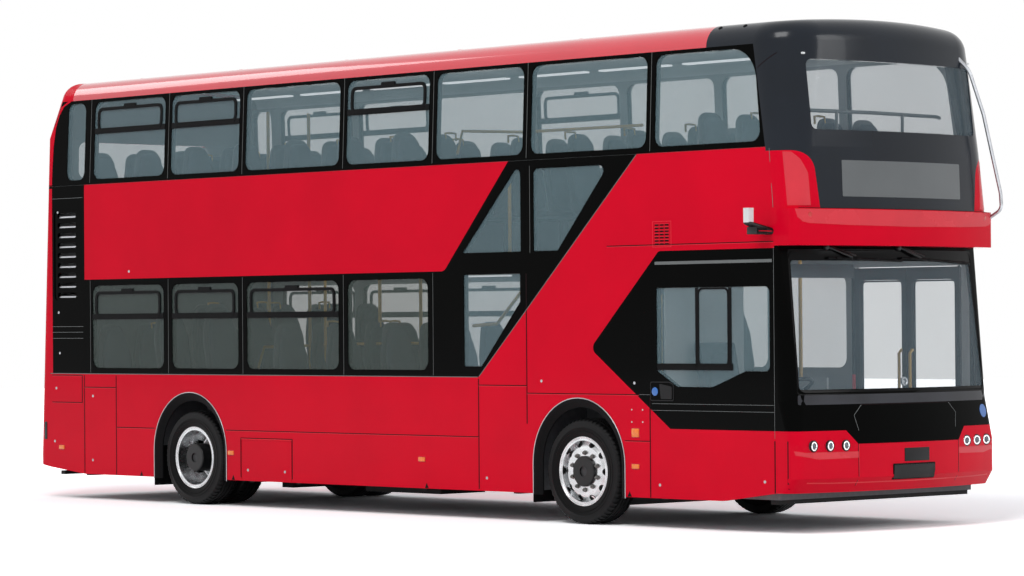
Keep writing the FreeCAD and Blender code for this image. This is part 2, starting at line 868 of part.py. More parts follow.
# Side glass
gap = s.seat_gap
offside_panes = [lower_window(span, gap) for span in (*lower_windows, fourth_window)]
offside_panes += [*stair_windows(gap), cab_window(gap)]
nearside_panes = [lower_window(span, gap) for span in (*lower_windows, exit_window, *arch_windows)]
depth = s.glass_depth
pane_place = {
    "offside": Placement(Vector(0, depth + s.glass_thickness - s.body_half_width, 0), Rotation()),
    "nearside": side_place(1, depth),
}
panes = {"offside": offside_panes, "nearside": nearside_panes}
glass = []
for name, side in SIDES.items():
    glass.append(plate(f"{name}_lower_glass", panes[name], "sizes.glass_thickness", pane_place[name], listed=False))
    glass.append(plate(f"{name}_upper_glass", upper_loops(gap), "sizes.glass_thickness",
                       leaning_place(side, depth, s.glass_thickness), listed=False))
joined("side_glass", glass)

# Roof
def roof_wire(inset):
    """Half section of the crowned roof above the cove, in Y and Z: side, cove, top and peak."""
    up_cove = (cove_centre - crown_centre).normalize()
    middle = (out_side + up_cove).normalize()
    radius = s.cove_radius - inset
    arc = [cove_centre + direction * radius for direction in (out_side, middle, up_cove)]
    return *arc, crown_centre + AXIS_Y * (crown_radius - inset)


def flipped(point):
    """Point on the other side of the section."""
    return Vector(-point.x, point.y, 0)


outer, inner = roof_wire(0.0), roof_wire(s.wall_thickness)
roof_edges = []
for side, middle, top, peak in (outer, inner):
    roof_edges += [Part.Arc(side, middle, top), Part.Arc(top, peak, flipped(top)),
                   Part.Arc(flipped(top), flipped(middle), flipped(side))]
roof_edges += [Part.LineSegment(outer[0], inner[0]), Part.LineSegment(flipped(outer[0]), flipped(inner[0]))]
roof = new_body("roof_panel")
roof_pad = roof.newObject("PartDesign::Pad", "roof_pad")
roof_pad.Profile = sketch_on(roof, "YZ_Plane", [roof_edges])
roof_pad.setExpression("Length", "sizes.dome_joint + sizes.tail_joint")
roof.Placement = Placement(Vector(-s.tail_joint, 0, 0), Rotation())

# Tail
wall = s.wall_thickness
far = s.body_length
tail_wall = shell(tail, wall)
band_edge = [
    (-far, s.deck_level),
    (-s.rear_joint, s.deck_level),
    (-s.rear_joint, s.tail_shoulder_level),
    (-s.tail_shoulder_joint, cove_edge),
    (-s.tail_joint, cove_edge),
    (-s.tail_joint, s.upper_crown_level),
    (-far, s.upper_crown_level),
]
rear_window = rectangle(-s.rear_window_half_width, s.rear_window_half_width, s.rear_window_bottom,
                        s.rear_window_top, s.window_radius)
upper_tail = tail_wall.common(across(outline(band_edge), -far, far))
keep("rear_upper_panel", upper_tail.cut(along(rear_window, -far, -s.tail_joint)))
pane_loop = rectangle(gap - s.rear_window_half_width, s.rear_window_half_width - gap, s.rear_window_bottom + gap,
                      s.rear_window_top - gap, s.window_radius - gap)
pane_wall = shell(tail, s.glass_thickness, depth)
keep("rear_glass", pane_wall.common(along(pane_loop, -far, -s.rear_joint)))

tail_foot = [
    (-far, s.deck_level),
    (-far, rear_foot + s.skirt_rear_rise),
    (-s.rear_joint - s.cove_radius, rear_foot + s.skirt_rear_rise / 2),
    (-s.rear_joint, rear_foot),
    (-s.rear_joint, s.deck_level),
]
lower_tail = tail_wall.common(across(outline(tail_foot), -far, far))
cover_loop = rectangle(-s.cover_half_width, s.cover_half_width, s.cover_bottom, s.cover_top)
lid_gap = s.running_gap
lid_loop = rectangle(lid_gap - s.cover_half_width, s.cover_half_width - lid_gap, s.cover_bottom + lid_gap,
                     s.cover_top - lid_gap)
tow_hole = rod(Vector(-far, s.tow_place, s.tail_low_level + s.tow_tube),
               Vector(-s.rear_joint, s.tow_place, s.tail_low_level + s.tow_tube), s.tow_tube + gap)
tail_lamp_places = [Vector(-s.rear_joint, side * s.tail_lamp_place, s.tail_lamp_level + i * s.tail_lamp_pitch)
                    for side in SIDES.values() for i in range(3)]
tail_holes = [rod(place, place - AXIS_X * s.cut_overrun, s.lamp_radius + gap) for place in tail_lamp_places]
seal_edge = s.soffit_thickness
seal_hole = along(rectangle(seal_edge - s.cover_half_width, s.cover_half_width - seal_edge,
                            s.cover_bottom + seal_edge, s.cover_top - seal_edge), -far, -s.rear_joint)
seal_outside = along(rectangle(-s.cover_half_width - seal_edge, s.cover_half_width + seal_edge,
                               s.cover_bottom - seal_edge, s.cover_top + seal_edge), -far, -s.rear_joint)
cover_hole = along(cover_loop, -far, -s.rear_joint)
seal_solid = tail(wall + seal_edge)
seal_outer = tail(wall).cut(seal_solid).common(seal_outside).cut(cover_hole)
seal_inner = tail(wall + gap).cut(seal_solid).common(cover_hole).cut(seal_hole)
lower_panel = lower_tail.cut([cover_hole, tow_hole, *tail_holes])
keep("rear_lower_panel", fused([lower_panel, seal_outer, seal_inner]))
keep("rear_cover", lower_tail.common(along(lid_loop, -far, -s.rear_joint)))

# Nose
nose_wall = shell(lower_nose, wall)
dip = [
    (-s.panel_dip_half_width - s.panel_dip, s.bumper_top),
    (-s.panel_dip_half_width, s.bumper_top - s.panel_dip),
    (s.panel_dip_half_width, s.bumper_top - s.panel_dip),
    (s.panel_dip_half_width + s.panel_dip, s.bumper_top),
]
bumper_zone = outline([(-far, s.bumper_bottom), *[(y, z) for y, z in [(-far, s.bumper_top), *dip]],
                       (far, s.bumper_top), (far, s.bumper_bottom)])
panel_zone = outline([(-far, s.bumper_top), *dip, (far, s.bumper_top), (far, s.brow_bottom),
                      (-far, s.brow_bottom)])
lamp_places = [Vector(0, side * (s.lamp_inner + i * s.lamp_pitch), s.lamp_level)
               for side in SIDES.values() for i in range(3)]
lamp_holes = [rod(place + AXIS_X * s.front_joint, place + AXIS_X * far, s.lamp_radius + gap)
              for place in lamp_places]
tow_front = rod(Vector(s.front_joint, s.tow_place, s.tow_level), Vector(far, s.tow_place, s.tow_level),
                s.tow_tube + gap)
keep("front_bumper", nose_wall.common(along(bumper_zone, 0, far)).cut([*lamp_holes, tow_front]))


def screen_loop(shrink=0.0):
    """Outline of the lower windscreen opening."""
    return outline([
        (shrink - s.screen_foot_half_width, s.screen_bottom + shrink, s.screen_radius),
        (s.screen_foot_half_width - shrink, s.screen_bottom + shrink, s.screen_radius),
        (s.screen_head_half_width - shrink, s.screen_top - shrink, s.screen_radius),
        (shrink - s.screen_head_half_width, s.screen_top - shrink, s.screen_radius),
    ])


def upper_screen_loop(shrink=0.0):
    """Outline of the upper windscreen opening."""
    return rectangle(shrink - s.upper_screen_half_width, s.upper_screen_half_width - shrink,
                     s.upper_screen_bottom + shrink, s.upper_screen_top - shrink, s.mid_window_radius)


surround = nose_wall.common(along(panel_zone, 0, far)).cut(along(screen_loop(), 0, far))
keep("windscreen_surround", surround)

# Brow with its cheeks and the soffit over the windscreen
soffit = brow_block(0.0).common(slab(s.front_joint, far, -far, far, s.brow_bottom,
                                     s.brow_bottom + s.soffit_thickness))
brow_wall = shell(brow_block, wall).fuse(soffit)
upper_wall = shell(upper_nose, wall)
cheek = outline([
    (s.cheek_inner, s.brow_top),
    (far, s.brow_top),
    (far, s.cheek_top),
    (s.cheek_inner + wall, s.cheek_top, s.cheek_radius),
])
cheek_prism = along(cheek, dome_foot_place, far)
cheek_prisms = [cheek_prism, mirrored(cheek_prism)]
behind_seam = outline([
    (s.front_joint, s.brow_top),
    (dome_foot_place, s.upper_sill_level),
    (0, s.upper_sill_level),
    (0, s.brow_top),
])
cheeks = [upper_wall.common(prism).cut(across(behind_seam, -far, far)) for prism in cheek_prisms]
keep("front_brow", brow_wall)

# Dome over the front of the upper deck
behind_dome = outline([
    (s.front_joint, s.brow_top),
    (dome_foot_place, s.upper_sill_level),
    (dome_cove_place, cove_edge),
    (0, cove_edge),
    (0, s.brow_top),
])
dome = upper_wall.cut([across(behind_dome, -far, far), *cheek_prisms, along(upper_screen_loop(), s.front_joint, far)])
keep("front_dome", dome)
keep("front_cheeks", Part.makeCompound(cheeks))

screens = [
    shell(lower_nose, s.glass_thickness, depth).common(along(screen_loop(gap), 0, far)),
    shell(upper_nose, s.glass_thickness, depth).common(along(upper_screen_loop(gap), s.front_joint, far)),
]
keep("windscreens", Part.makeCompound(screens))


# Floors, wheel boxes and the bulkhead behind the lower saloon
upper_base = s.upper_floor_level
ceiling = upper_base - s.slab_thickness - gap
lining = s.body_half_width - wall - s.lining_gap
floor_front = s.front_joint - s.lining_gap
bulkhead_rear = -s.bulkhead_place - s.slab_thickness


def deck_slab(rear, front, top):
    """Floor between the side walls."""
    return slab(rear, front, -lining, lining, top - s.slab_thickness, top)


def wheel_box(place, side, floor):
    """Block of the box over a wheel and the hollow inside it."""
    rear, front = place - s.arch_half_width, place + s.arch_half_width
    inside, outside = sorted((side * s.box_inner, side * lining))
    block = slab(rear - s.box_wall, front + s.box_wall, inside, outside, floor - s.slab_thickness,
                 s.arch_top_level + s.box_wall)
    inside, outside = sorted((side * (s.box_inner + s.box_wall), side * (lining + wall)))
    return block, slab(rear, front, inside, outside, 0, s.arch_top_level)


boxes = [wheel_box(place, side, floor) for side in SIDES.values()
         for place, floor in ((rear_axle_place, s.rear_floor_level), (s.front_axle_place, s.floor_level))]
lower_floor = fused([
    deck_slab(-s.rear_floor_place, floor_front, s.floor_level),
    deck_slab(bulkhead_rear, -s.rear_floor_place, s.rear_floor_level),
    slab(-s.rear_floor_place - s.slab_thickness, -s.rear_floor_place, -lining, lining,
         s.floor_level - s.slab_thickness, s.rear_floor_level),
    slab(bulkhead_rear, -s.bulkhead_place, -lining, lining, s.rear_floor_level, ceiling),
    slab(s.cab_head, floor_front, -lining, -s.cab_aisle, s.floor_level, s.cab_floor_level),
    *[block for block, hollow in boxes],
])
keep("lower_floor", lower_floor.cut([hollow for block, hollow in boxes]))

stair_rise = upper_base - s.floor_level
steps = round(stair_rise / s.stair_going)
step_rise = stair_rise / steps
stair_head = s.stair_foot + s.stair_going * (steps - 1)
stair_well = slab(s.stair_foot - s.stair_going, stair_head, -lining - wall, -s.stair_inner, ceiling, upper_base)
deck_front = slab(floor_front - s.soffit_thickness, floor_front, -lining, lining, upper_base,
                  s.brow_bottom + s.soffit_thickness)
upper_floor = fused([deck_slab(-s.rear_joint, floor_front, upper_base), deck_front])
keep("upper_floor", upper_floor.cut(stair_well))

# Stair, notched over the wheel box
box_top = s.arch_top_level + s.box_wall + gap
box_rear = s.front_axle_place - s.arch_half_width - s.box_wall - gap
waist_top = s.floor_level + step_rise * (steps - 1) - s.stair_waist
waist_foot = s.stair_foot + s.stair_waist
waist_slope = (waist_top - s.floor_level) / (stair_head - waist_foot)


def tread_corners():
    """Corner points of the treads and risers, walked upwards."""
    corners = []
    for i in range(steps - 1):
        place = s.stair_foot + s.stair_going * i
        corners += [(place, s.floor_level + step_rise * i + gap), (place, s.floor_level + step_rise * (i + 1))]
    return corners


stair = outline([
    *tread_corners(),
    (stair_head - gap, s.floor_level + step_rise * (steps - 1)),
    (stair_head - gap, waist_top),
    (waist_foot + (box_top - s.floor_level) / waist_slope, box_top),
    (box_rear, box_top),
    (box_rear, s.floor_level + (box_rear - waist_foot) * waist_slope),
    (waist_foot, s.floor_level + gap),
])
stair_place = Placement(Vector(0, -s.stair_inner, 0), Rotation())
plate("staircase", [stair], "sizes.stair_width", stair_place)


# Seats in pairs, each a cushion and a rounded back on a leg
def seat_pair(front, side, base, level):
    """Two seats side by side facing forward, their cushions at a level."""
    rear, top = front - s.seat_depth, level + s.seat_back_rise
    shape = outline([
        (front, level - s.seat_foam),
        (front, level, s.seat_foam / 2),
        (rear + s.seat_foam, level),
        (rear + s.seat_foam - s.seat_back_lean, top, s.seat_foam / 2 - gap),
        (rear - s.seat_back_lean, top, s.seat_foam / 2 - gap),
        (rear, level - s.seat_foam),
    ])
    inner, outer = seat_inner, seat_inner + s.seat_pair_width
    seats = []
    for low, high in ((inner, inner + s.seat_width), (outer - s.seat_width, outer)):
        near, other = sorted((side * low, side * high))
        face = outline([
            (near, base),
            (other, base),
            (other, top, s.seat_top_radius),
            (near, top, s.seat_top_radius),
        ])
        wide = across(shape, near - s.seat_foam, other + s.seat_foam)
        seats.append(wide.common(along(face, rear - s.seat_depth, front + s.seat_depth)))
    middle, centre = side * (inner + outer) / 2, front - s.seat_depth / 2
    leg = slab(centre - s.seat_leg / 2, centre + s.seat_leg / 2, middle - s.seat_leg, middle + s.seat_leg, base + gap,
               level - s.seat_foam)
    parts = [*seats, leg]
    if base < s.rear_floor_level:
        near, other = sorted((side * inner, side * outer))
        parts.append(slab(rear, front - s.seat_foam, near, other, base + gap, s.rear_floor_level))
    return fused(parts)


seat_inner = lining - s.seat_pair_width - s.pole_radius
back_row = s.seat_depth + s.seat_back_lean + s.seat_leg - s.bulkhead_place
half_depth, half_pitch = s.seat_depth / 2, s.seat_pitch / 2
rear_row_level = s.rear_floor_level + s.seat_height
seats = []
for side in SIDES.values():
    seats.append(seat_pair(back_row, side, s.rear_floor_level, rear_row_level))
    for centre in (rear_axle_place - half_pitch, rear_axle_place + half_pitch):
        seats.append(seat_pair(centre + half_depth, side, box_top - gap, box_top + s.seat_box_rise))
    for row in range(1, 3 if side > 0 else 4):
        seats.append(seat_pair(-s.rear_floor_place + s.seat_pitch * row, side, s.floor_level, rear_row_level))
    for row in range(12):
        front = s.front_joint - half_pitch - s.seat_leg - s.seat_pitch * row
        behind_stair = front < s.stair_foot - s.stair_going
        if side > 0 or behind_stair or row == 0:
            seats.append(seat_pair(front, side, upper_base, upper_base + s.seat_height))
seats.append(seat_pair(s.front_axle_place + half_depth, 1, box_top - gap, box_top + s.seat_box_rise))
keep("saloon_seats", Part.makeCompound(seats))

# Cab: driver's seat, partition, dashboard and steering wheel
driver_level = s.cab_floor_level + s.seat_height
driver_front = s.cab_dip_front + s.seat_leg
driver_rear = driver_front - s.seat_depth
driver_top = driver_level + s.driver_back_rise
driver_seat = across(outline([
    (driver_front, driver_level - 2 * s.seat_foam),
    (driver_front, driver_level, s.seat_foam),
    (driver_rear, driver_level),
    (driver_rear - s.seat_back_lean, driver_top, s.pole_radius),
    (driver_rear - s.seat_back_lean - s.seat_foam, driver_top, s.pole_radius),
    (driver_rear - s.seat_foam, driver_level - 2 * s.seat_foam),
]), -s.driver_place - s.seat_width / 2, -s.driver_place + s.seat_width / 2)
driver_leg = slab(driver_rear + s.seat_leg, driver_front - s.seat_leg, -s.driver_place - 2 * s.seat_leg,
                  -s.driver_place + 2 * s.seat_leg, s.cab_floor_level + gap, driver_level - 2 * s.seat_foam)
keep("driver_seat", fused([driver_seat, driver_leg]))
keep("cab_partition", fused([
    slab(s.cab_head, s.cab_head + s.soffit_thickness, -lining, -s.cab_aisle, s.cab_floor_level + gap, ceiling),
    slab(s.cab_head, s.cab_dip_end, -s.cab_aisle - s.soffit_thickness, -s.cab_aisle, s.cab_floor_level + gap,
         s.sill_level),
]))
dash = across(outline([
    (s.dash_rear, s.cab_floor_level + gap),
    (s.front_joint - s.soffit_thickness, s.cab_floor_level + gap),
    (s.dash_front, s.dash_level - 2 * s.seat_leg),
    (s.dash_front, s.dash_level),
    (s.dash_rear - s.seat_leg, s.dash_level - s.seat_leg, s.seat_leg / 2),
    (s.dash_rear - s.seat_leg, s.dash_level - 3 * s.seat_leg, s.seat_leg / 2),
]), -s.dash_half_width, -s.cab_aisle)
steering_angle = radians(s.steering_tilt)
steering_axis = Vector(-sin(steering_angle), 0, cos(steering_angle))
steering_centre = Vector(s.steering_place, -s.driver_place, s.steering_level)
keep("driver_controls", fused([
    dash,
    Part.makeTorus(s.steering_radius, s.pole_radius, steering_centre, steering_axis),
    rod(steering_centre - AXIS_Y * s.steering_radius, steering_centre + AXIS_Y * s.steering_radius, s.pole_radius / 2),
    rod(steering_centre, steering_centre - steering_axis * s.seat_depth, s.pole_radius * 2),
]))


# Handrails
def pole(x, y, low, high):
    """Upright pole between two levels."""
    return rod(Vector(x, y, low), Vector(x, y, high), s.pole_radius)


aisle = seat_inner - 2 * s.pole_radius
rails = []
for side in SIDES.values():
    rails.append(pole(rear_axle_place, side * aisle, s.rear_floor_level + gap, ceiling))
    rails.append(pole(-s.rear_floor_place + s.seat_pitch, side * aisle, s.floor_level + gap, ceiling))
    rails.append(pole(rear_axle_place, side * aisle, upper_base + gap, s.roof_level - 2 * s.cove_radius))
for x in (s.exit_rear - s.seat_leg, s.exit_front + s.seat_leg, s.entrance_rear - s.seat_leg):
    rails.append(pole(x, s.box_inner, s.floor_level + gap, ceiling))
hand_y = -s.stair_inner - 2 * s.pole_radius
low_post = Vector(s.stair_foot + s.stair_going / 2, hand_y, s.floor_level + step_rise)
high_post = low_post + Vector(s.stair_going, 0, step_rise) * (steps - 2)
lift = AXIS_Z * s.hand_height
rails.append(fused([rod(low_post + AXIS_Z * gap, low_post + lift, s.pole_radius),
                    rod(low_post + lift, high_post + lift, s.pole_radius),
                    rod(high_post + AXIS_Z * gap, high_post + lift, s.pole_radius)]))
guard_rear = Vector(s.stair_foot - s.stair_going, -s.stair_inner + 2 * s.pole_radius, upper_base)
guard_front = Vector(high_post.x, guard_rear.y, upper_base)
rails.append(fused([rod(guard_rear + AXIS_Z * gap, guard_rear + lift, s.pole_radius),
                    rod(guard_rear + lift, guard_front + lift, s.pole_radius),
                    rod(guard_front + AXIS_Z * gap, guard_front + lift, s.pole_radius)]))
keep("handrails", Part.makeCompound(rails))

# Chassis frame under the floor, battery and underfloor boxes
rail_top = s.floor_level - s.slab_thickness - gap
rail_low = rail_top - s.rail_height
rear_underside = s.rear_floor_level - s.slab_thickness - gap
long_rails = [slab(-s.frame_rear, s.frame_front, side * s.rail_half_gap - s.rail_width / 2,
                   side * s.rail_half_gap + s.rail_width / 2, rail_low, rail_top) for side in SIDES.values()]
cross_places = (-s.frame_rear, bulkhead_rear, -s.rear_floor_place - s.slab_thickness, -s.flap_front,
                s.exit_rear, s.exit_front, s.entrance_rear, s.frame_front - s.rail_width)
crosses = [slab(place, place + s.rail_width, -lining, lining, rail_low, rail_top) for place in cross_places]
uprights = [slab(place, place + s.slab_thickness, side * s.rail_half_gap - s.rail_width / 2,
                 side * s.rail_half_gap + s.rail_width / 2, rail_top, rear_underside)
            for side in SIDES.values() for place in (bulkhead_rear, -s.rear_floor_place - s.arch_half_width / 4)]
keep("chassis_frame", fused([*long_rails, *crosses, *uprights]))
keep("battery_pack", slab(bulkhead_rear - gap - s.battery_length, bulkhead_rear - gap, -s.battery_half_width,
                          s.battery_half_width, rail_top + gap, rail_top + s.battery_height))
under_boxes = [slab(rear, front, *sorted((side * s.rail_width, side * s.tank_outer)), s.tank_level, rail_low - gap)
               for side in SIDES.values()
               for rear, front in ((-s.tank_rear, s.tank_front), (-s.tank_rear - 2 * s.tank_outer, -s.flap_rear))]
keep("underfloor_boxes", Part.makeCompound(under_boxes))

# Side louvre with its rows of slots
louvre = new_body("side_louvre")
louvre_pad = louvre.newObject("PartDesign::Pad", "louvre_pad")
louvre_pad.Profile = sketch_on(louvre, "XZ_Plane", [rectangle(
    gap - s.louvre_rear, -s.louvre_front - gap, s.louvre_bottom + gap, s.louvre_top - gap,
    s.mid_window_radius - gap)])
louvre_pad.setExpression("Length", "sizes.louvre_thickness")
louvre.Placement = Placement(Vector(0, s.louvre_thickness + depth - s.body_half_width, 0), Rotation())
slot_count = 9
slot_pitch = (s.louvre_top - s.louvre_bottom) / slot_count
slot_left, slot_right = -s.louvre_rear + slot_pitch / 2, -s.louvre_front - slot_pitch / 2
slot_base = s.louvre_bottom + slot_pitch / 4
slot = sketch_on(louvre, "XZ_Plane", [rectangle(slot_left, slot_right, slot_base, slot_base + slot_pitch / 2,
                                                s.pole_radius)])
slot_cut = louvre.newObject("PartDesign::Pocket", "slot_cut")
slot_cut.Profile = slot
slot_cut.Type = "ThroughAll"
slot_cut.Midplane = True
slot_rows = louvre.newObject("PartDesign::LinearPattern", "slot_rows")
slot_rows.Originals = [slot_cut]
slot_rows.Direction = (slot, ["V_Axis"])
slot_rows.Length = slot_pitch * (slot_count - 1)
slot_rows.Occurrences = slot_count
louvre.Tip = slot_rows

# Axles and knuckles
hub_level = s.tyre_radius
eye_half = s.eye_height / 2
drop_top = s.beam_drop_level + s.beam_height
riser_inner = s.box_inner + 2 * s.box_wall
riser_outer = riser_inner + s.beam_height
half_beam = s.beam_width / 2
axle_parts = [slab(s.front_axle_place - half_beam, s.front_axle_place + half_beam, -riser_outer, riser_outer,
                   s.beam_drop_level, drop_top)]
for side in SIDES.values():
    inside, outside = sorted((side * riser_inner, side * riser_outer))
    axle_parts.append(slab(s.front_axle_place - half_beam, s.front_axle_place + half_beam, inside, outside,
                           s.beam_drop_level, hub_level + eye_half))
    inside, outside = sorted((side * riser_inner, side * s.kingpin_place))
    axle_parts.append(slab(s.front_axle_place - s.arm_half_width, s.front_axle_place + s.arm_half_width, inside,
                           outside, hub_level - eye_half, hub_level + eye_half))
    axle_parts.append(Part.makeCylinder(s.eye_radius, s.eye_height, Vector(
        s.front_axle_place, side * s.kingpin_place, hub_level - eye_half)))
    axle_parts.append(Part.makeCylinder(half_beam, rail_low - drop_top - gap, Vector(
        s.front_axle_place, side * s.rail_half_gap, drop_top)))
pin_holes = [Part.makeCylinder(s.kingpin_radius + s.bearing_gap, s.roof_level, Vector(
    s.front_axle_place, side * s.kingpin_place, 0)) for side in SIDES.values()]
keep("front_axle", fused(axle_parts).cut(pin_holes))

spindle_end = s.wheel_outer_face - 2 * s.rim_thickness


def knuckle(side):
    """Fork round the axle's eye with its kingpin and the wheel's spindle."""
    fork = s.running_gap + eye_half
    reach = s.eye_radius + s.running_gap
    outer = reach + s.yoke_thickness
    parts = [Part.makeCylinder(s.kingpin_radius, 2 * (fork + s.yoke_thickness), Vector(
        0, 0, -fork - s.yoke_thickness))]
    for level in (fork, -fork - s.yoke_thickness):
        parts.append(Part.makeCylinder(s.eye_radius, s.yoke_thickness, Vector(0, 0, level)))
        parts.append(slab(-s.eye_radius, s.eye_radius, 0, outer, level, level + s.yoke_thickness))
    parts.append(slab(-s.eye_radius, s.eye_radius, reach, outer, -fork - s.yoke_thickness, fork + s.yoke_thickness))
    parts.append(Part.makeCylinder(s.hub_bore - s.bearing_gap, spindle_end - s.kingpin_place - reach,
                                   Vector(0, reach, 0), AXIS_Y))
    for part in parts:
        part.translate(Vector(s.front_axle_place, s.kingpin_place, hub_level))
    return fused(parts) if side > 0 else mirrored(fused(parts))


for name, side in SIDES.items():
    keep(f"knuckle_{name}", knuckle(side))

wheel_place = s.wheel_outer_face - s.tyre_width / 2
twin_offset = (s.tyre_width + s.twin_gap) / 2
twin_place = wheel_place - twin_offset
tube_end = twin_place - 2 * s.rim_thickness
case = Part.makeSphere(2 * s.axle_tube_radius, Vector(rear_axle_place, 0, hub_level)).common(
    slab(-far, far, -far, far, 0, rear_underside - s.soffit_thickness))
spring_pads = [slab(rear_axle_place - half_beam, rear_axle_place + half_beam,
                    side * s.rail_half_gap - s.rail_width / 2, side * s.rail_half_gap + s.rail_width / 2,
                    hub_level, rear_underside) for side in SIDES.values()]
keep("rear_axle", fused([
    Part.makeCylinder(s.axle_tube_radius, 2 * tube_end, Vector(rear_axle_place, -tube_end, hub_level), AXIS_Y),
    Part.makeCylinder(s.hub_bore - s.bearing_gap, 2 * spindle_end, Vector(rear_axle_place, -spindle_end, hub_level),
                      AXIS_Y),
    case,
    *spring_pads,
]))


# Wheels: loops hold radius and distance outwards from the rim's middle plane
def rim_loop(join, dish, hub_end):
    """Section of a rim whose disc leaves the barrel at join and meets the hub at dish."""
    half, thick, disc = s.rim_half_width, s.rim_thickness, s.disc_thickness
    outer = s.bead_radius - gap
    inner = outer - thick
    lip = half + thick / 2
    return outline([
        (s.hub_bore, dish - disc),
        (s.disc_flat_radius, dish - disc, thick),
        (inner, join - disc),
        (inner, -lip),
        (s.flange_radius, -lip),
        (s.flange_radius, -half),
        (outer, -half),
        (outer, half),
        (s.flange_radius, half),
        (s.flange_radius, lip),
        (inner, lip),
        (inner, join),
        (s.disc_flat_radius, dish, thick),
        (s.hub_radius, dish),
        (s.hub_radius, hub_end, disc),
        (s.hub_bore, hub_end),
    ])


def wheel_body(label, loop, place, listed=True):
    """Rim turned about its axle with the ring of hand holes."""
    body = turned(label, [loop], place, listed)
    hole = body.newObject("PartDesign::Pocket", f"{label}_hole")
    hole.Profile = sketch_on(body, "XZ_Plane", [[Part.Circle(Vector(s.hand_circle, 0, 0), AXIS_Z, s.hand_radius)]])
    hole.Type = "ThroughAll"
    hole.Midplane = True
    ring = body.newObject("PartDesign::PolarPattern", f"{label}_holes")
    ring.Originals = [hole]
    ring.Axis = (hole.Profile[0], ["N_Axis"])
    ring.Angle = 360
    ring.Occurrences = 10
    body.Tip = ring
    return body


half_tyre = s.tyre_width / 2
bead_half = s.rim_half_width - gap
bead_lip = bead_half + s.rim_thickness
wall_radius = (s.bead_radius + s.tyre_radius) / 2
tyre_loop = outline([
    (s.bead_radius, -bead_half),
    (s.flange_radius + gap, -bead_half),
    (s.flange_radius + gap, -bead_lip),
    (wall_radius, -half_tyre, half_tyre),
    (s.tyre_radius, -bead_lip, s.rim_thickness),
    (s.tyre_radius, bead_lip, s.rim_thickness),
    (wall_radius, half_tyre, half_tyre),
    (s.flange_radius + gap, bead_lip),
    (s.flange_radius + gap, bead_half),
    (s.bead_radius, bead_half),
])
facing = {1: Rotation(), -1: Rotation(AXIS_X, 180)}
hub_end = half_tyre - s.rim_thickness
for name, side in SIDES.items():
    place = Placement(Vector(s.front_axle_place, side * wheel_place, hub_level), facing[side])
    wheel_body(f"front_wheel_{name}", rim_loop(s.front_disc_join, s.front_disc_dish, hub_end), place)
    turned(f"front_tyre_{name}", [tyre_loop], place)
for name, side in SIDES.items():
    outer_place = Placement(Vector(rear_axle_place, side * wheel_place, hub_level), facing[side])
    inner_place = Placement(Vector(rear_axle_place, side * (twin_place - twin_offset), hub_level), facing[-side])
    dish = s.disc_thickness - twin_offset
    join = s.front_disc_join - s.rim_half_width
    rims = [wheel_body(f"rear_outer_rim_{name}", rim_loop(join, dish, hub_end), outer_place, listed=False),
            wheel_body(f"rear_inner_rim_{name}", rim_loop(join, dish, dish + s.disc_thickness), inner_place,
                       listed=False)]
    merged(f"rear_wheels_{name}", rims)
    joined(f"rear_tyres_{name}", [turned(f"rear_outer_tyre_{name}", [tyre_loop], outer_place, listed=False),
                                  turned(f"rear_inner_tyre_{name}", [tyre_loop], inner_place, listed=False)])


# Doors: each leaf a frame round its pane
def door_leaf(label, rear, front, hinge):
    """One leaf of a doorway between two places, pivoted at its hinge."""
    low, high = s.floor_level + s.leaf_floor_gap, s.deck_level - s.running_gap
    frame = s.leaf_frame

    def opening(shrink):
        return rectangle(rear + frame + shrink, front - frame - shrink, low + 2 * frame + shrink,
                         high - 2 * frame - shrink, frame - shrink)

    leaf = plate(f"{label}_frame", [rectangle(rear, front, low, high), opening(0.0)], "sizes.leaf_thickness",
                 side_place(1, s.leaf_depth), listed=False)
    pivot = doc.addObject("Part::Cylinder", f"{label}_pivot")
    pivot.setExpression("Radius", "sizes.pivot_radius")
    pivot.setExpression("Height", "sizes.deck_level - sizes.floor_level - 2 * sizes.seat_gap")
    pivot.Placement = Placement(Vector(hinge, s.body_half_width - s.leaf_depth - s.leaf_thickness / 2,
                                       s.floor_level + gap), Rotation())
    hung = merged(f"{label}_hung", [leaf, pivot], listed=False)
    pane = plate(f"{label}_pane", [opening(gap)], "sizes.glass_thickness", side_place(1, s.leaf_depth + depth),
                 listed=False)
    joined(label, [hung, pane])


for name, rear, front in (("exit", s.exit_rear, s.exit_front), ("entrance", s.entrance_rear, s.entrance_front)):
    middle, half_gap = (rear + front) / 2, s.running_gap / 2
    pivot_inset = s.leaf_post_gap + s.leaf_thickness / 2
    door_leaf(f"{name}_leaf_rear", rear + s.leaf_post_gap, middle - half_gap, rear + pivot_inset)
    door_leaf(f"{name}_leaf_front", middle + half_gap, front - s.leaf_post_gap, front - pivot_inset)

hinge_drop = 2 * s.hinge_radius - gap
flap_loop = rectangle(lid_gap - s.flap_rear, -s.flap_front - lid_gap, s.skirt_level, s.flap_top - hinge_drop)
flap_place = Placement(Vector(0, s.leaf_thickness - s.body_half_width, 0), Rotation())
flap_plate = plate("side_flap_plate", [flap_loop], "sizes.leaf_thickness", flap_place, listed=False)
flap_barrel = turned("side_flap_barrel", [rectangle(0, s.hinge_radius, lid_gap - s.flap_rear,
                                                    -s.flap_front - lid_gap)], Placement(
    Vector(0, -s.body_half_width, s.flap_top - gap - s.hinge_radius), Rotation(AXIS_Z, -90)), listed=False)
merged("side_flap", [flap_plate, flap_barrel])

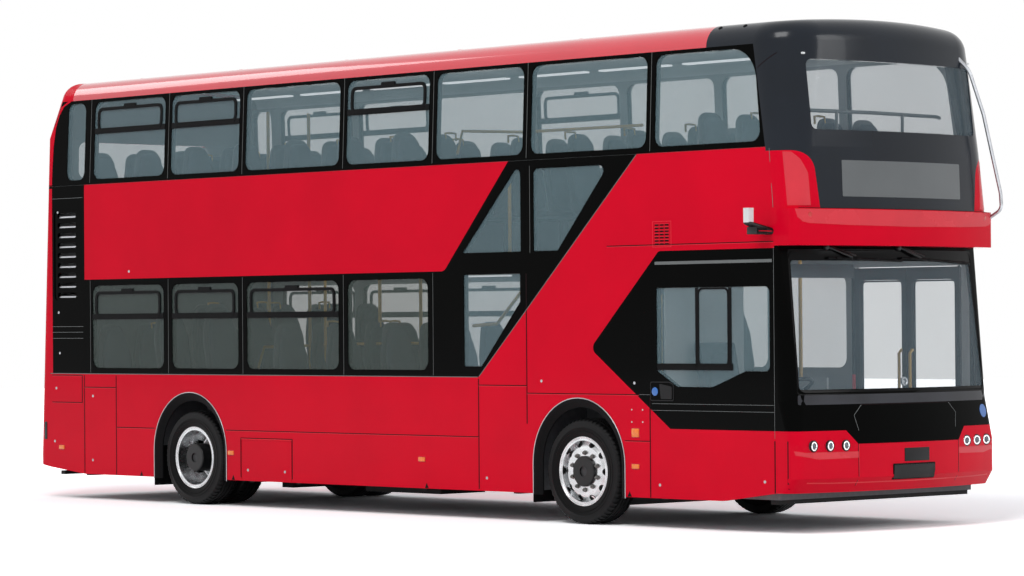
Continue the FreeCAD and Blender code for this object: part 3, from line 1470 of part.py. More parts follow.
# Lamps in the nose, the tail and along the sides
nose_lens = lower_nose(depth)
lamp_backs = [place + AXIS_X * (s.bumper_nose - place.y ** 2 / (2 * s.face_radius) - s.lamp_depth)
              for place in lamp_places]
keep("headlamps", Part.makeCompound([rod(back, back + AXIS_X * s.cut_overrun, s.lamp_radius).common(nose_lens)
                                     for back in lamp_backs]))
tail_lens = tail(depth)
keep("rear_lamps", Part.makeCompound([rod(place, place - AXIS_X * s.cut_overrun, s.lamp_radius).common(tail_lens)
                                      for place in tail_lamp_places]))
marker_places = [(-s.column_front - s.cut_overrun, s.marker_level), (-s.flap_rear - 2 * s.marker_length, s.marker_level),
                 (s.exit_rear + s.marker_length, s.marker_level), (s.cab_window_rear - s.indicator_gap, s.marker_level),
                 (s.cab_window_rear - s.indicator_gap, s.indicator_level)]
markers = []
for side in SIDES.values():
    for x, level in marker_places:
        in_doorway = side > 0 and s.exit_rear < x < s.exit_front
        inside, outside = sorted((side * (s.body_half_width + gap), side * (s.body_half_width + s.marker_depth)))
        if not in_doorway:
            markers.append(slab(x - s.marker_length / 2, x + s.marker_length / 2, inside, outside,
                                level - s.marker_height / 2, level + s.marker_height / 2))
keep("side_markers", Part.makeCompound(markers))


# Camera arms, one each side of the brow
def arm_section(place, y, level, chord, thickness):
    """Rounded section of an arm at a distance from the middle, from place backwards."""
    half = thickness / 2
    face = face_of(outline([(place - chord, -half, half - gap), (place, -half, half - gap), (place, half, half - gap),
                            (place - chord, half, half - gap)]))
    face.rotate(Vector(), AXIS_X, 90)
    face.translate(Vector(0, y, level))
    return face.OuterWire


tip_place, tip_y = s.front_joint - s.arm_sweep, s.body_half_width + s.arm_reach
arm = Part.makeLoft([
    arm_section(s.front_joint, s.body_half_width + gap, s.arm_level, 2 * s.seat_leg, s.seat_leg),
    arm_section(tip_place, tip_y, s.arm_level + s.arm_rise, s.seat_leg, s.marker_height),
], True, True)
pod = slab(tip_place - s.seat_leg, tip_place, tip_y - s.seat_leg, tip_y, s.arm_level + s.arm_rise,
           s.arm_level + s.arm_rise + 2 * s.seat_leg)
camera_arm = fused([arm, pod])
keep("camera_arms", Part.makeCompound([camera_arm, mirrored(camera_arm)]))


# Branch guard over the nearside front corner
def tube(points, radius, bend):
    """Round tube along straight runs joined by arcs."""
    edges, start = [], points[0]
    for before, here, after in zip(points, points[1:], points[2:]):
        back, ahead = (before - here).normalize(), (after - here).normalize()
        opening = back.getAngle(ahead)
        reach = min(bend / tan(opening / 2), (before - here).Length / 3, (after - here).Length / 3)
        size = reach * tan(opening / 2)
        middle = (back + ahead).normalize()
        edges.append(Part.makeLine(start, here + back * reach))
        edges.append(Part.Arc(here + back * reach, here + middle * (size / sin(opening / 2) - size),
                              here + ahead * reach).toShape())
        start = here + ahead * reach
    edges.append(Part.makeLine(start, points[-1]))
    ring = Part.Wire(Part.makeCircle(radius, points[0], points[1] - points[0]))
    return Part.Wire(edges).makePipeShell([ring], True, True)


guard_points = [Vector(*point) for point in GUARD_POINTS]
guard = tube(guard_points, s.guard_radius, s.arm_reach)
keep("branch_guard", guard.cut([upper_nose(-gap), brow_block(-gap)]))

# Towing sockets through the bumper and the tail
sockets = []
for start, inward, end, base in ((s.bumper_nose - s.soffit_thickness, -1, s.frame_front, s.floor_level),
                                 (-s.tail_low_nose + s.soffit_thickness, 1, -s.frame_rear, rail_top)):
    level = s.tow_level if inward < 0 else s.tail_low_level + s.tow_tube
    mouth = Vector(start, s.tow_place, level)
    socket = rod(mouth, Vector(end, s.tow_place, level), s.tow_tube)
    foot = sorted((end, end - inward * s.soffit_thickness))
    bracket = slab(*foot, s.tow_place - s.tow_tube, s.tow_place + s.tow_tube, base + gap, level + s.tow_tube)
    bore = rod(mouth, mouth + AXIS_X * inward * s.tow_length, s.tow_bore)
    sockets.append(fused([socket, bracket]).cut(bore))
keep("tow_sockets", Part.makeCompound(sockets))


# Writing
def write_nodes():
    """Check every object and write each sub-part's STEP file."""
    doc.recompute()
    for item in doc.Objects:
        if {"Invalid", "Error"} & set(item.State):
            raise RuntimeError(f"{item.Name} is {item.State}")
    os.makedirs("parts", exist_ok=True)
    for label, item in nodes.items():
        shape = item.Shape
        if shape.isNull() or not shape.isValid():
            raise RuntimeError(f"{label} has no valid shape")
        shape.exportStep(f"parts/{label}.step")
        print(label, len(shape.Solids), round(shape.Volume / s.body_length ** 3, 8))


write_nodes()
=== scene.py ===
"""Looks of a double decker city bus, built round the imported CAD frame.

Lengths in tables are millimetres in the row frame (+X forward, +Y nearside, +Z up).
"""

import json
import logging
from collections.abc import Callable, Iterable, Sequence
from dataclasses import dataclass
from enum import Enum
from math import atan2, cos, pi, radians, sin

import bmesh
import bpy
from mathutils import Matrix, Vector
from mathutils.bvhtree import BVHTree

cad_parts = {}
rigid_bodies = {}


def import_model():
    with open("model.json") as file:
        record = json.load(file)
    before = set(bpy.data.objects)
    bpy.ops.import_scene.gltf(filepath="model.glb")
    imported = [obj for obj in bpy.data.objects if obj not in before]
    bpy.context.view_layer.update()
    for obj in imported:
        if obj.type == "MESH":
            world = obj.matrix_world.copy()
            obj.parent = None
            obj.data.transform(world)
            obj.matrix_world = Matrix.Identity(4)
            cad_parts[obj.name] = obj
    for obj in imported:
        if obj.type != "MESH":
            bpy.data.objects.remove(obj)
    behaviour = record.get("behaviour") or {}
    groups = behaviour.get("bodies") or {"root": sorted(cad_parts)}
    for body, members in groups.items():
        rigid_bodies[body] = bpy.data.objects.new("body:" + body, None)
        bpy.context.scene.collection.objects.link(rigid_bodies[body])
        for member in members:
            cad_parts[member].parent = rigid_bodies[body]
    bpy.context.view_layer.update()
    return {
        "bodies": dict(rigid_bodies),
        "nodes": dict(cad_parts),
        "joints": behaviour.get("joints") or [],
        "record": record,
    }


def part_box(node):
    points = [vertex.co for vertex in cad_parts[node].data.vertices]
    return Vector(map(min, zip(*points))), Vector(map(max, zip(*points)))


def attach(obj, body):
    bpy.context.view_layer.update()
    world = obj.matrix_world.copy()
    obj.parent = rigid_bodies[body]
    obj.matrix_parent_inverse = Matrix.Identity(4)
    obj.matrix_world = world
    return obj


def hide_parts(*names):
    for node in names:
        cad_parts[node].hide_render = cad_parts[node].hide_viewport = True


log = logging.getLogger("bus")

MM = 0.001
HALF_WIDTH = 1275.0
FRONT_AXLE = 2702.0
REAR_AXLE = -2808.0
HUB_LEVEL = 462.0
OFFSIDE, NEARSIDE = -1, 1
SEAM_LIFT = 1.0
SEAM_THICK = 0.8

COAT_ROUGH = 0.04
PATCH_FROM, PATCH_TO = 0.35, 0.65
SMOOTHEST, ROUGHEST = 0.85, 1.2

SKIN_NODES = ("offside_skirt nearside_skirt red_side_panels offside_lower_band nearside_lower_band "
              "upper_window_bands side_glass front_dome front_cheeks side_flap side_louvre windscreens "
              "windscreen_surround front_brow front_bumper rear_lower_panel rear_upper_panel "
              "roof_panel rear_cover rear_glass").split()

Point = tuple[float, float]
Point3 = tuple[float, float, float]


# Finishes
@dataclass(frozen=True)
class Finish:
    """One surface finish.

    Attributes:
        name: Name of the material.
        colour: Linear base colour.
        rough: Roughness.
        metal: Metallic share.
        coat: Clear coat weight.
        shine: Strength of its reflections, 0.5 for common paint.
        alpha: Opacity; less than one is see-through.
        glow: Emission strength.
        grain: Size of the fine bump in metres, or nought for none.
        grain_depth: Strength of that bump.
        mottle: Share by which the colour varies.
        mottle_size: Size of the colour's patches in metres.
    """

    name: str
    colour: tuple[float, float, float]
    rough: float = 0.4
    metal: float = 0.0
    coat: float = 0.0
    shine: float = 0.5
    alpha: float = 1.0
    glow: float = 0.0
    grain: float = 0.0
    grain_depth: float = 0.1
    mottle: float = 0.04
    mottle_size: float = 0.4

    def material(self) -> bpy.types.Material:
        """Blender material of this finish, made on first use."""
        found = bpy.data.materials.get(self.name)
        return found if found else self._build()

    def _build(self) -> bpy.types.Material:
        """Builds the node tree.

        Returns:
            The new material.
        """
        material = bpy.data.materials.new(self.name)
        material.use_nodes = True
        tree = material.node_tree
        shader = tree.nodes["Principled BSDF"]
        shader.inputs["Base Color"].default_value = (*self.colour, 1.0)
        shader.inputs["Roughness"].default_value = self.rough
        shader.inputs["Metallic"].default_value = self.metal
        shader.inputs["Coat Weight"].default_value = self.coat
        shader.inputs["Specular IOR Level"].default_value = self.shine
        shader.inputs["Coat Roughness"].default_value = COAT_ROUGH
        shader.inputs["Alpha"].default_value = self.alpha
        if self.glow:
            shader.inputs["Emission Color"].default_value = (*self.colour, 1.0)
            shader.inputs["Emission Strength"].default_value = self.glow
        place = tree.nodes.new("ShaderNodeTexCoord").outputs["Object"]
        if self.mottle:
            self._mottle(tree, shader, place)
        if self.grain:
            self._grain(tree, shader, place)
        material.diffuse_color = (*self.colour, self.alpha)
        return material

    def _mottle(self, tree: bpy.types.NodeTree, shader: bpy.types.Node, place: bpy.types.NodeSocket) -> None:
        """Varies colour and roughness in soft patches.

        Args:
            tree: Node tree of the material.
            shader: Its main shader.
            place: Socket with the coordinates on the object.
        """
        noise = tree.nodes.new("ShaderNodeTexNoise")
        noise.inputs["Scale"].default_value = 1.0 / self.mottle_size
        noise.inputs["Detail"].default_value = 4.0
        tree.links.new(place, noise.inputs["Vector"])
        ramp = tree.nodes.new("ShaderNodeValToRGB")
        low = tuple(channel * (1.0 - self.mottle) for channel in self.colour)
        high = tuple(min(1.0, channel * (1.0 + self.mottle)) for channel in self.colour)
        ramp.color_ramp.elements[0].color = (*low, 1.0)
        ramp.color_ramp.elements[0].position = PATCH_FROM
        ramp.color_ramp.elements[1].color = (*high, 1.0)
        ramp.color_ramp.elements[1].position = PATCH_TO
        tree.links.new(noise.outputs["Fac"], ramp.inputs["Fac"])
        tree.links.new(ramp.outputs["Color"], shader.inputs["Base Color"])
        spread = tree.nodes.new("ShaderNodeMapRange")
        spread.inputs["To Min"].default_value = self.rough * SMOOTHEST
        spread.inputs["To Max"].default_value = min(1.0, self.rough * ROUGHEST)
        tree.links.new(noise.outputs["Fac"], spread.inputs["Value"])
        tree.links.new(spread.outputs["Result"], shader.inputs["Roughness"])

    def _grain(self, tree: bpy.types.NodeTree, shader: bpy.types.Node, place: bpy.types.NodeSocket) -> None:
        """Adds a fine bump.

        Args:
            tree: Node tree of the material.
            shader: Its main shader.
            place: Socket with the coordinates on the object.
        """
        noise = tree.nodes.new("ShaderNodeTexNoise")
        noise.inputs["Scale"].default_value = 1.0 / self.grain
        noise.inputs["Detail"].default_value = 3.0
        bump = tree.nodes.new("ShaderNodeBump")
        bump.inputs["Strength"].default_value = self.grain_depth
        bump.inputs["Distance"].default_value = self.grain
        tree.links.new(place, noise.inputs["Vector"])
        tree.links.new(noise.outputs["Fac"], bump.inputs["Height"])
        tree.links.new(bump.outputs["Normal"], shader.inputs["Normal"])


class Look(Enum):
    """The finishes of the bus."""

    RED = Finish("red gloss", (0.78, 0.0012, 0.022), rough=0.2, coat=0.03, shine=0.04,
                 mottle=0.04, mottle_size=0.9)
    BLACK = Finish("black gloss", (0.0012, 0.0013, 0.0012), rough=0.14, coat=0.02, shine=0.02,
                   mottle=0.15, mottle_size=0.8)
    DOME = Finish("dome gloss", (0.006, 0.010, 0.017), rough=0.2, coat=0.12, shine=0.2,
                  mottle=0.12, mottle_size=0.7)
    SEAM = Finish("seam shadow", (0.010, 0.003, 0.004), rough=0.8, shine=0.1, mottle=0.1)
    # Lighter red: painted highlight on seam edges, the bumper's crease, the cab vent, the roof joints and the
    # cover slats.
    RED_HIGHLIGHT = Finish("red painted highlight", (0.80, 0.045, 0.065), rough=0.3, coat=0.05, shine=0.15)
    MOULDING = Finish("grey moulding", (0.13, 0.14, 0.14), rough=0.4, mottle=0.1)
    PANE = Finish("tinted pane", (0.22, 0.34, 0.38), rough=0.03, coat=0.15, shine=0.3, alpha=0.3)
    PANE_LOW = Finish("tinted pane below", (0.11, 0.15, 0.135), rough=0.03, coat=0.15, shine=0.3, alpha=0.32)
    SCREEN = Finish("clear screen", (0.28, 0.38, 0.44), rough=0.03, coat=0.2, shine=0.3, alpha=0.15)
    FRIT_GREY = Finish("glass border below", (0.022, 0.023, 0.03), rough=0.3, shine=0.3, mottle=0.2)
    FRIT = Finish("glass border", (0.003, 0.003, 0.0035), rough=0.2, shine=0.08, mottle=0.1)
    RUBBER = Finish("rubber", (0.004, 0.004, 0.0045), rough=0.6, shine=0.08, grain=0.002, grain_depth=0.15)
    TYRE = Finish("tyre", (0.0035, 0.0035, 0.004), rough=0.5, shine=0.18, grain=0.004,
                  grain_depth=0.3, mottle=0.2)
    TYRE_WALL = Finish("tyre wall", (0.002, 0.002, 0.0022), rough=0.5, shine=0.1, grain=0.004,
                       grain_depth=0.2, mottle=0.2)
    RED_TOP = Finish("red gloss above", (0.76, 0.0015, 0.026), rough=0.14, coat=1.0, shine=0.6,
                     mottle_size=0.9)
    RIM = Finish("polished rim", (0.56, 0.57, 0.58), rough=0.26, metal=1.0, mottle=0.16, mottle_size=0.12)
    # Darker metal: painted shade in the rims' hollows and on their inner sides.
    RIM_SHADE = Finish("rim shadow", (0.30, 0.31, 0.33), rough=0.4, metal=1.0)
    HUB = Finish("black hub", (0.006, 0.006, 0.0065), rough=0.35, shine=0.3, mottle=0.2, mottle_size=0.05)
    STEEL = Finish("steel", (0.42, 0.43, 0.45), rough=0.32, metal=1.0, mottle=0.08, mottle_size=0.05)
    NUT = Finish("wheel nut", (0.16, 0.155, 0.15), rough=0.35, metal=1.0, mottle=0.2, mottle_size=0.02)
    CHROME = Finish("chrome", (0.86, 0.87, 0.88), rough=0.07, metal=1.0)
    IRON = Finish("cast iron", (0.03, 0.03, 0.032), rough=0.6, grain=0.006, grain_depth=0.35, mottle=0.2)
    FRAME = Finish("frame black", (0.006, 0.006, 0.0065), rough=0.5, shine=0.15, mottle=0.2)
    AMBER = Finish("amber lens", (0.90, 0.20, 0.005), rough=0.15, coat=0.3, glow=0.1,
                   mottle=0.08, mottle_size=0.02)
    RED_LENS = Finish("red lens", (0.55, 0.008, 0.008), rough=0.12, coat=0.6, glow=0.1)
    LENS = Finish("clear lens", (0.85, 0.88, 0.90), rough=0.03, coat=1.0, alpha=0.3)
    WHITE = Finish("white plastic", (0.80, 0.81, 0.81), rough=0.35, mottle=0.04)
    BLUE = Finish("blue disc", (0.02, 0.16, 0.55), rough=0.3, coat=0.3, mottle=0.05)
    FLOOR = Finish("floor covering", (0.15, 0.155, 0.165), rough=0.7, grain=0.003, mottle=0.1,
                   mottle_size=0.05)
    WALL = Finish("saloon wall", (0.45, 0.46, 0.46), rough=0.55, mottle=0.05)
    CEILING = Finish("ceiling", (0.72, 0.73, 0.72), rough=0.6)
    LIGHT_STRIP = Finish("light strip", (0.95, 0.97, 1.0), rough=0.3, glow=0.8)
    FABRIC = Finish("seat fabric", (0.030, 0.036, 0.050), rough=0.9, grain=0.0025, grain_depth=0.5,
                    mottle=0.3, mottle_size=0.03)
    SEAT_SHELL = Finish("seat shell", (0.05, 0.055, 0.065), rough=0.4)
    YELLOW = Finish("yellow rail", (0.72, 0.40, 0.03), rough=0.3, coat=0.5, mottle=0.04)
    CAB = Finish("cab plastic", (0.010, 0.010, 0.011), rough=0.5, shine=0.2, grain=0.002, grain_depth=0.2)
    DISPLAY = Finish("blank display", (0.085, 0.095, 0.10), rough=0.35, coat=0.4, mottle=0.05)
    PLATE = Finish("blank plate", (0.004, 0.004, 0.0045), rough=0.3, shine=0.2, mottle=0.1)
    SCREEN_GLOW = Finish("monitor", (0.05, 0.08, 0.10), rough=0.15, coat=0.6, glow=0.2)
    # Paler red: painted reflection of the sky on the front's upper facets.
    RED_SHEEN = Finish("red painted sheen", (0.80, 0.05, 0.07), rough=0.26, coat=0.05, shine=0.15, mottle=0.05)
    GROUND = Finish("studio floor", (0.90, 0.90, 0.90), rough=0.9, shine=0.0)


# Mesh tools
def at(x: float, y: float, z: float) -> Vector:
    """Point of the row frame from millimetres."""
    return Vector((x, y, z)) * MM


def vertices(made: Sequence[object]) -> list[bmesh.types.BMVert]:
    """Vertices among the things that an operator made."""
    return [item for item in made if isinstance(item, bmesh.types.BMVert)]


def box_in_mm(name: str) -> tuple[Vector, Vector]:
    """Lowest and highest corner of a CAD node, in millimetres."""
    low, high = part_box(name)
    return low / MM, high / MM


class Piece:
    """One piece under construction: a mesh, its finish and the body that carries it."""

    def __init__(self, name: str, look: Look, slot: str, body: str = "body") -> None:
        """Starts an empty piece.

        Args:
            name: Name of the finished object.
            look: Its finish.
            slot: The record's material slot; not used.
            body: The CAD body that it moves with.
        """
        self.name, self.look, self.slot, self.body = name, look, slot, body
        self.bm = bmesh.new()

    def block(self, low: Point3, high: Point3, bevel: float = 0.0, segments: int = 2) -> None:
        """Block between two corners with rounded edges.

        Args:
            low: Lowest corner.
            high: Highest corner.
            bevel: Width of the rounding.
            segments: Steps of the rounding.
        """
        lo, hi = at(*low), at(*high)
        made = bmesh.ops.create_cube(self.bm, size=1.0)["verts"]
        middle, size = (lo + hi) / 2, hi - lo
        for vert in made:
            vert.co = middle + Vector([vert.co[i] * size[i] for i in range(3)])
        if bevel:
            edges = list({edge for vert in made for edge in vert.link_edges})
            bmesh.ops.bevel(self.bm, geom=edges, offset=bevel * MM, affect="EDGES", segments=segments,
                            profile=0.5, material=-1)

    def prism(self, loop: Sequence[Vector], push: Vector, bevel: float = 0.0) -> None:
        """Solid from a closed loop pushed along a vector.

        Args:
            loop: Corners of the loop in metres.
            push: Vector from the loop to its copy.
            bevel: Width of the rounding of the pushed face's edges, in millimetres.
        """
        face = self.bm.faces.new([self.bm.verts.new(corner) for corner in loop])
        face.normal_update()
        if face.normal.dot(push) > 0:
            face.normal_flip()
        made = bmesh.ops.extrude_face_region(self.bm, geom=[face], use_keep_orig=True)["geom"]
        verts = vertices(made)
        bmesh.ops.translate(self.bm, vec=push, verts=verts)
        lid = [item for item in made if isinstance(item, bmesh.types.BMFace)]
        region = {near for vert in verts for near in vert.link_faces} | {face}
        bmesh.ops.recalc_face_normals(self.bm, faces=list(region))
        if bevel:
            edges = list({edge for near in lid for edge in near.edges})
            bmesh.ops.bevel(self.bm, geom=edges, offset=bevel * MM, affect="EDGES", segments=2, profile=0.5,
                            material=-1)

    def tube(self, path: Sequence[Vector], radius: float, sides: int = 12, closed: bool = False) -> None:
        """Round tube along a path, as a circle extruded from point to point.

        Args:
            path: Points in metres.
            radius: Radius in millimetres.
            sides: Sides of its section.
            closed: Whether the path joins its own start.
        """
        count = len(path)
        frames: list[Matrix] = []
        turn = None
        for i, point in enumerate(path):
            before = path[i - 1] if i or closed else point
            after = path[(i + 1) % count] if i < count - 1 or closed else point
            tangent = (after - before).normalized()
            if turn is None:
                turn = Vector((0, 0, 1)).rotation_difference(tangent).to_matrix()
            else:
                turn = (turn @ Vector((0, 0, 1))).rotation_difference(tangent).to_matrix() @ turn
            frames.append(Matrix.Translation(point) @ turn.to_4x4())
        first = bmesh.ops.create_circle(self.bm, segments=sides, radius=radius * MM, matrix=frames[0],
                                        cap_ends=False)["verts"]
        edges = list({edge for vert in first for edge in vert.link_edges})
        ends = [edges]
        for old, new in zip(frames, frames[1:]):
            made = bmesh.ops.extrude_edge_only(self.bm, edges=edges)["geom"]
            edges = [item for item in made
                     if isinstance(item, bmesh.types.BMEdge) and len(item.link_faces) == 1]
            bmesh.ops.transform(self.bm, matrix=new @ old.inverted(), verts=vertices(made))
        ends.append(edges)
        if closed:
            bmesh.ops.bridge_loops(self.bm, edges=[*ends[0], *ends[1]])
        else:
            for end in ends:
                bmesh.ops.contextual_create(self.bm, geom=end)
        bmesh.ops.recalc_face_normals(self.bm, faces=self.bm.faces[:])

    def lathe(self, profile: Sequence[Point], centre: Vector, axis: Vector, steps: int = 48,
              closed: bool = True) -> None:
        """Turned shape.

        Args:
            profile: Points (distance along the axis, radius) in millimetres.
            centre: Origin of the axis in metres.
            axis: Direction of the axis.
            steps: Steps round the axis.
            closed: Whether the profile's ends are joined.
        """
        axis = axis.normalized()
        across = axis.orthogonal().normalized()
        verts = [self.bm.verts.new(centre + (axis * along + across * max(radius, 0.01)) * MM)
                 for along, radius in profile]
        pairs = list(zip(verts, verts[1:])) + ([(verts[-1], verts[0])] if closed else [])
        edges = [self.bm.edges.new(pair) for pair in pairs]
        bmesh.ops.spin(self.bm, geom=[*verts, *edges], cent=centre, axis=axis, angle=2 * pi, steps=steps,
                       use_merge=True)
        bmesh.ops.remove_doubles(self.bm, verts=self.bm.verts[:], dist=1e-5)
        bmesh.ops.recalc_face_normals(self.bm, faces=self.bm.faces[:])

    def done(self, smooth: float = 35.0) -> bpy.types.Object:
        """Turns the mesh into an object of the scene.

        Args:
            smooth: Edges sharper than this many degrees stay sharp.

        Returns:
            The finished object, riding on its body.
        """
        mesh = bpy.data.meshes.new(self.name)
        for face in self.bm.faces:
            face.smooth = True
        self.bm.to_mesh(mesh)
        self.bm.free()
        mesh.set_sharp_from_angle(angle=radians(smooth))
        mesh.materials.append(self.look.value.material())
        thing = bpy.data.objects.new(self.name, mesh)
        bpy.context.scene.collection.objects.link(thing)
        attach(thing, self.body)
        log.info("%s: %d faces", self.name, len(mesh.polygons))
        return thing


# Outlines and the camera
def rounded(corners: Sequence[Point], radius: float, steps: int = 5) -> list[Point]:
    """Loop with its corners rounded.

    Args:
        corners: Corners in order.
        radius: Radius of each corner, in millimetres.
        steps: Points along each corner.

    Returns:
        The points of the rounded loop.
    """
    points: list[Point] = []
    count = len(corners)
    for i, corner in enumerate(corners):
        here = Vector(corner)
        before, after = Vector(corners[i - 1]) - here, Vector(corners[(i + 1) % count]) - here
        half = before.angle(after) / 2
        reach = min(radius / max(sin(half) / cos(half), 0.05), before.length * 0.48, after.length * 0.48)
        start, end = here + before.normalized() * reach, here + after.normalized() * reach
        for k in range(steps + 1):
            share = k / steps
            point = start * (1 - share) ** 2 + here * 2 * share * (1 - share) + end * share ** 2
            points.append((point.x, point.y))
    return points


def grown(loop: Sequence[Point], by: float) -> list[Point]:
    """Loop moved outwards.

    Args:
        loop: Points of the loop.
        by: Distance in millimetres, inwards when negative.

    Returns:
        The points of the moved loop.
    """
    area = sum(a[0] * b[1] - b[0] * a[1] for a, b in zip(loop, [*loop[1:], loop[0]]))
    turn = 1 if area > 0 else -1
    points, count = [], len(loop)
    for i, point in enumerate(loop):
        before, after = Vector(loop[i - 1]), Vector(loop[(i + 1) % count])
        along = after - before
        along = along.normalized() if along.length > 1e-6 else Vector((1, 0))
        points.append((point[0] + along.y * by * turn, point[1] - along.x * by * turn))
    return points


def box_loop(x0: float, z0: float, x1: float, z1: float) -> list[Point]:
    """Corners of an upright rectangle."""
    return [(x0, z0), (x1, z0), (x1, z1), (x0, z1)]


class Camera:
    """The photograph's camera."""

    place = Vector((25.43207, -23.15778, 1.75559))
    yaw, pitch, roll, lens, sensor = 47.126, 0.5662, -0.4243, 127.11, 36.0

    @classmethod
    def build(cls) -> None:
        """Adds the camera to the scene."""
        data = bpy.data.cameras.new("camera")
        data.lens, data.sensor_width = cls.lens, cls.sensor
        data.clip_end = 200.0
        thing = bpy.data.objects.new("camera", data)
        bpy.context.scene.collection.objects.link(thing)
        turn = (Matrix.Rotation(radians(cls.yaw), 4, "Z") @ Matrix.Rotation(radians(90 + cls.pitch), 4, "X")
                @ Matrix.Rotation(radians(cls.roll), 4, "Z"))
        thing.matrix_world = Matrix.Translation(cls.place) @ turn
        bpy.context.scene.camera = thing


# Laying details on the body
class Side(Enum):
    """A side of the bus on which flat drawings are laid: its two drawing axes and the way that faces out."""

    FRONT = ((0, 1, 0), (0, 0, 1), (1, 0, 0))
    REAR = ((0, 1, 0), (0, 0, 1), (-1, 0, 0))
    OFFSIDE = ((1, 0, 0), (0, 0, 1), (0, -1, 0))
    NEARSIDE = ((1, 0, 0), (0, 0, 1), (0, 1, 0))
    ROOF = ((1, 0, 0), (0, 1, 0), (0, 0, 1))

    def start(self, u: float, v: float) -> Vector:
        """Point far out over drawing point u, v."""
        first, second, out = (Vector(axis) for axis in self.value)
        return (first * u + second * v) * MM + out * 12.0

    def out(self) -> Vector:
        """Way that faces out."""
        return Vector(self.value[2])


BODY_SIDES = (Side.OFFSIDE, Side.NEARSIDE)


class Skin:
    """Outer surface of some CAD nodes."""

    def __init__(self, nodes: dict[str, bpy.types.Object], names: Iterable[str]) -> None:
        """Gathers the nodes' faces.

        Args:
            nodes: The frame's nodes.
            names: Those that make the surface.
        """
        points: list[Vector] = []
        faces: list[list[int]] = []
        for name in names:
            mesh, base = nodes[name].data, len(points)
            points += [vert.co.copy() for vert in mesh.vertices]
            faces += [[base + i for i in face.vertices] for face in mesh.polygons]
        self.tree = BVHTree.FromPolygons(points, faces)

    def lay(self, side: Side, u: float, v: float, lift: float = 0.0) -> Vector:
        """Point on the surface.

        Args:
            side: Side of the bus.
            u: First drawing place in millimetres.
            v: Second drawing place in millimetres.
            lift: Distance off the surface in millimetres.

        Returns:
            The point in metres.
        """
        way = -side.out()
        hits = []
        for step in (0.0, 3.0, -3.0):
            place, normal, _, distance = self.tree.ray_cast(side.start(u + step, v + step), way)
            if place is not None:
                hits.append((distance, place, normal))
        if not hits:
            place, normal, _, _ = self.tree.find_nearest(side.start(u, v) + way * 12.0)
            return place + side.out() * lift * MM
        near = min(hit[0] for hit in hits)
        distance, place, normal = hits[0]
        if distance > near + 0.02:
            distance, place, normal = min(hits, key=lambda hit: hit[0])
        if normal.dot(way) > 0:
            normal = -normal
        return place + normal * lift * MM


def lay_panel(piece: Piece, skin: Skin, side: Side, loops: Sequence[Sequence[Point]], lift: float = 1.2,
              thick: float = 1.2, cell: float = 0.0) -> None:
    """Thin panel that follows the body surface.

    Args:
        piece: The piece that receives it.
        skin: Surface below it.
        side: Side of the bus.
        loops: Outline and holes, in drawing places.
        lift: Height of its face over the surface.
        thick: Its thickness.
        cell: Size of its cells on curved surfaces, or nought on flat ones.
    """
    flat = bmesh.new()
    edges = []
    for loop in loops:
        verts = [flat.verts.new((u, v, 0)) for u, v in loop]
        edges += [flat.edges.new((verts[i - 1], verts[i])) for i in range(len(verts))]
    bmesh.ops.triangle_fill(flat, use_beauty=True, use_dissolve=False, edges=edges, normal=(0, 0, 1))
    if cell:
        for axis in (0, 1):
            places = [vert.co[axis] for vert in flat.verts]
            low, high = min(places), max(places)
            count = int((high - low) / cell)
            normal = (1, 0, 0) if axis == 0 else (0, 1, 0)
            for k in range(1, count + 1):
                cut = low + (high - low) * k / (count + 1)
                bmesh.ops.bisect_plane(flat, geom=[*flat.verts, *flat.edges, *flat.faces], dist=0.01,
                                       plane_co=(cut, cut, 0), plane_no=normal)
    lower = {vert: piece.bm.verts.new(skin.lay(side, vert.co.x, vert.co.y, lift - thick))
             for vert in flat.verts}
    faces = [piece.bm.faces.new([lower[vert] for vert in face.verts]) for face in flat.faces]
    for face in faces:
        face.normal_update()
        if face.normal.dot(side.out()) < 0:
            face.normal_flip()
    made = bmesh.ops.extrude_face_region(piece.bm, geom=faces, use_keep_orig=True)["geom"]
    bmesh.ops.translate(piece.bm, vec=side.out() * thick * MM, verts=vertices(made))
    flat.free()
    bmesh.ops.reverse_faces(piece.bm, faces=faces)


def strip_loops(path: Sequence[Point], width: float, closed: bool = False) -> list[list[Point]]:
    """Loops of a line with a width.

    Args:
        path: Points of the line.
        width: Its width.
        closed: Whether the line is a loop.

    Returns:
        The outline, and the hole of a closed line.
    """
    if closed:
        return [grown(path, width / 2), grown(path, -width / 2)]
    left, right = [], []
    for i, point in enumerate(path):
        before = Vector(path[max(i - 1, 0)])
        after = Vector(path[min(i + 1, len(path) - 1)])
        along = (after - before).normalized()
        shift = Vector((-along.y, along.x)) * width / 2
        left.append((point[0] + shift.x, point[1] + shift.y))
        right.append((point[0] - shift.x, point[1] - shift.y))
    return [left + right[::-1]]


def lay_strip(piece: Piece, skin: Skin, side: Side, path: Sequence[Point], width: float, lift: float = 1.2,
              thick: float = 1.2, closed: bool = False, cell: float = 0.0) -> None:
    """Narrow strip along a line on the body; the arguments are those of lay_panel and strip_loops."""
    lay_panel(piece, skin, side, strip_loops(path, width, closed), lift, thick, cell)


def lay_seam(piece: Piece, skin: Skin, side: Side, path: Sequence[Point], width: float,
             cell: float = 0.0) -> None:
    """Thin line on the body; the arguments are those of lay_strip."""
    lay_strip(piece, skin, side, path, width, SEAM_LIFT, SEAM_THICK, cell=cell)


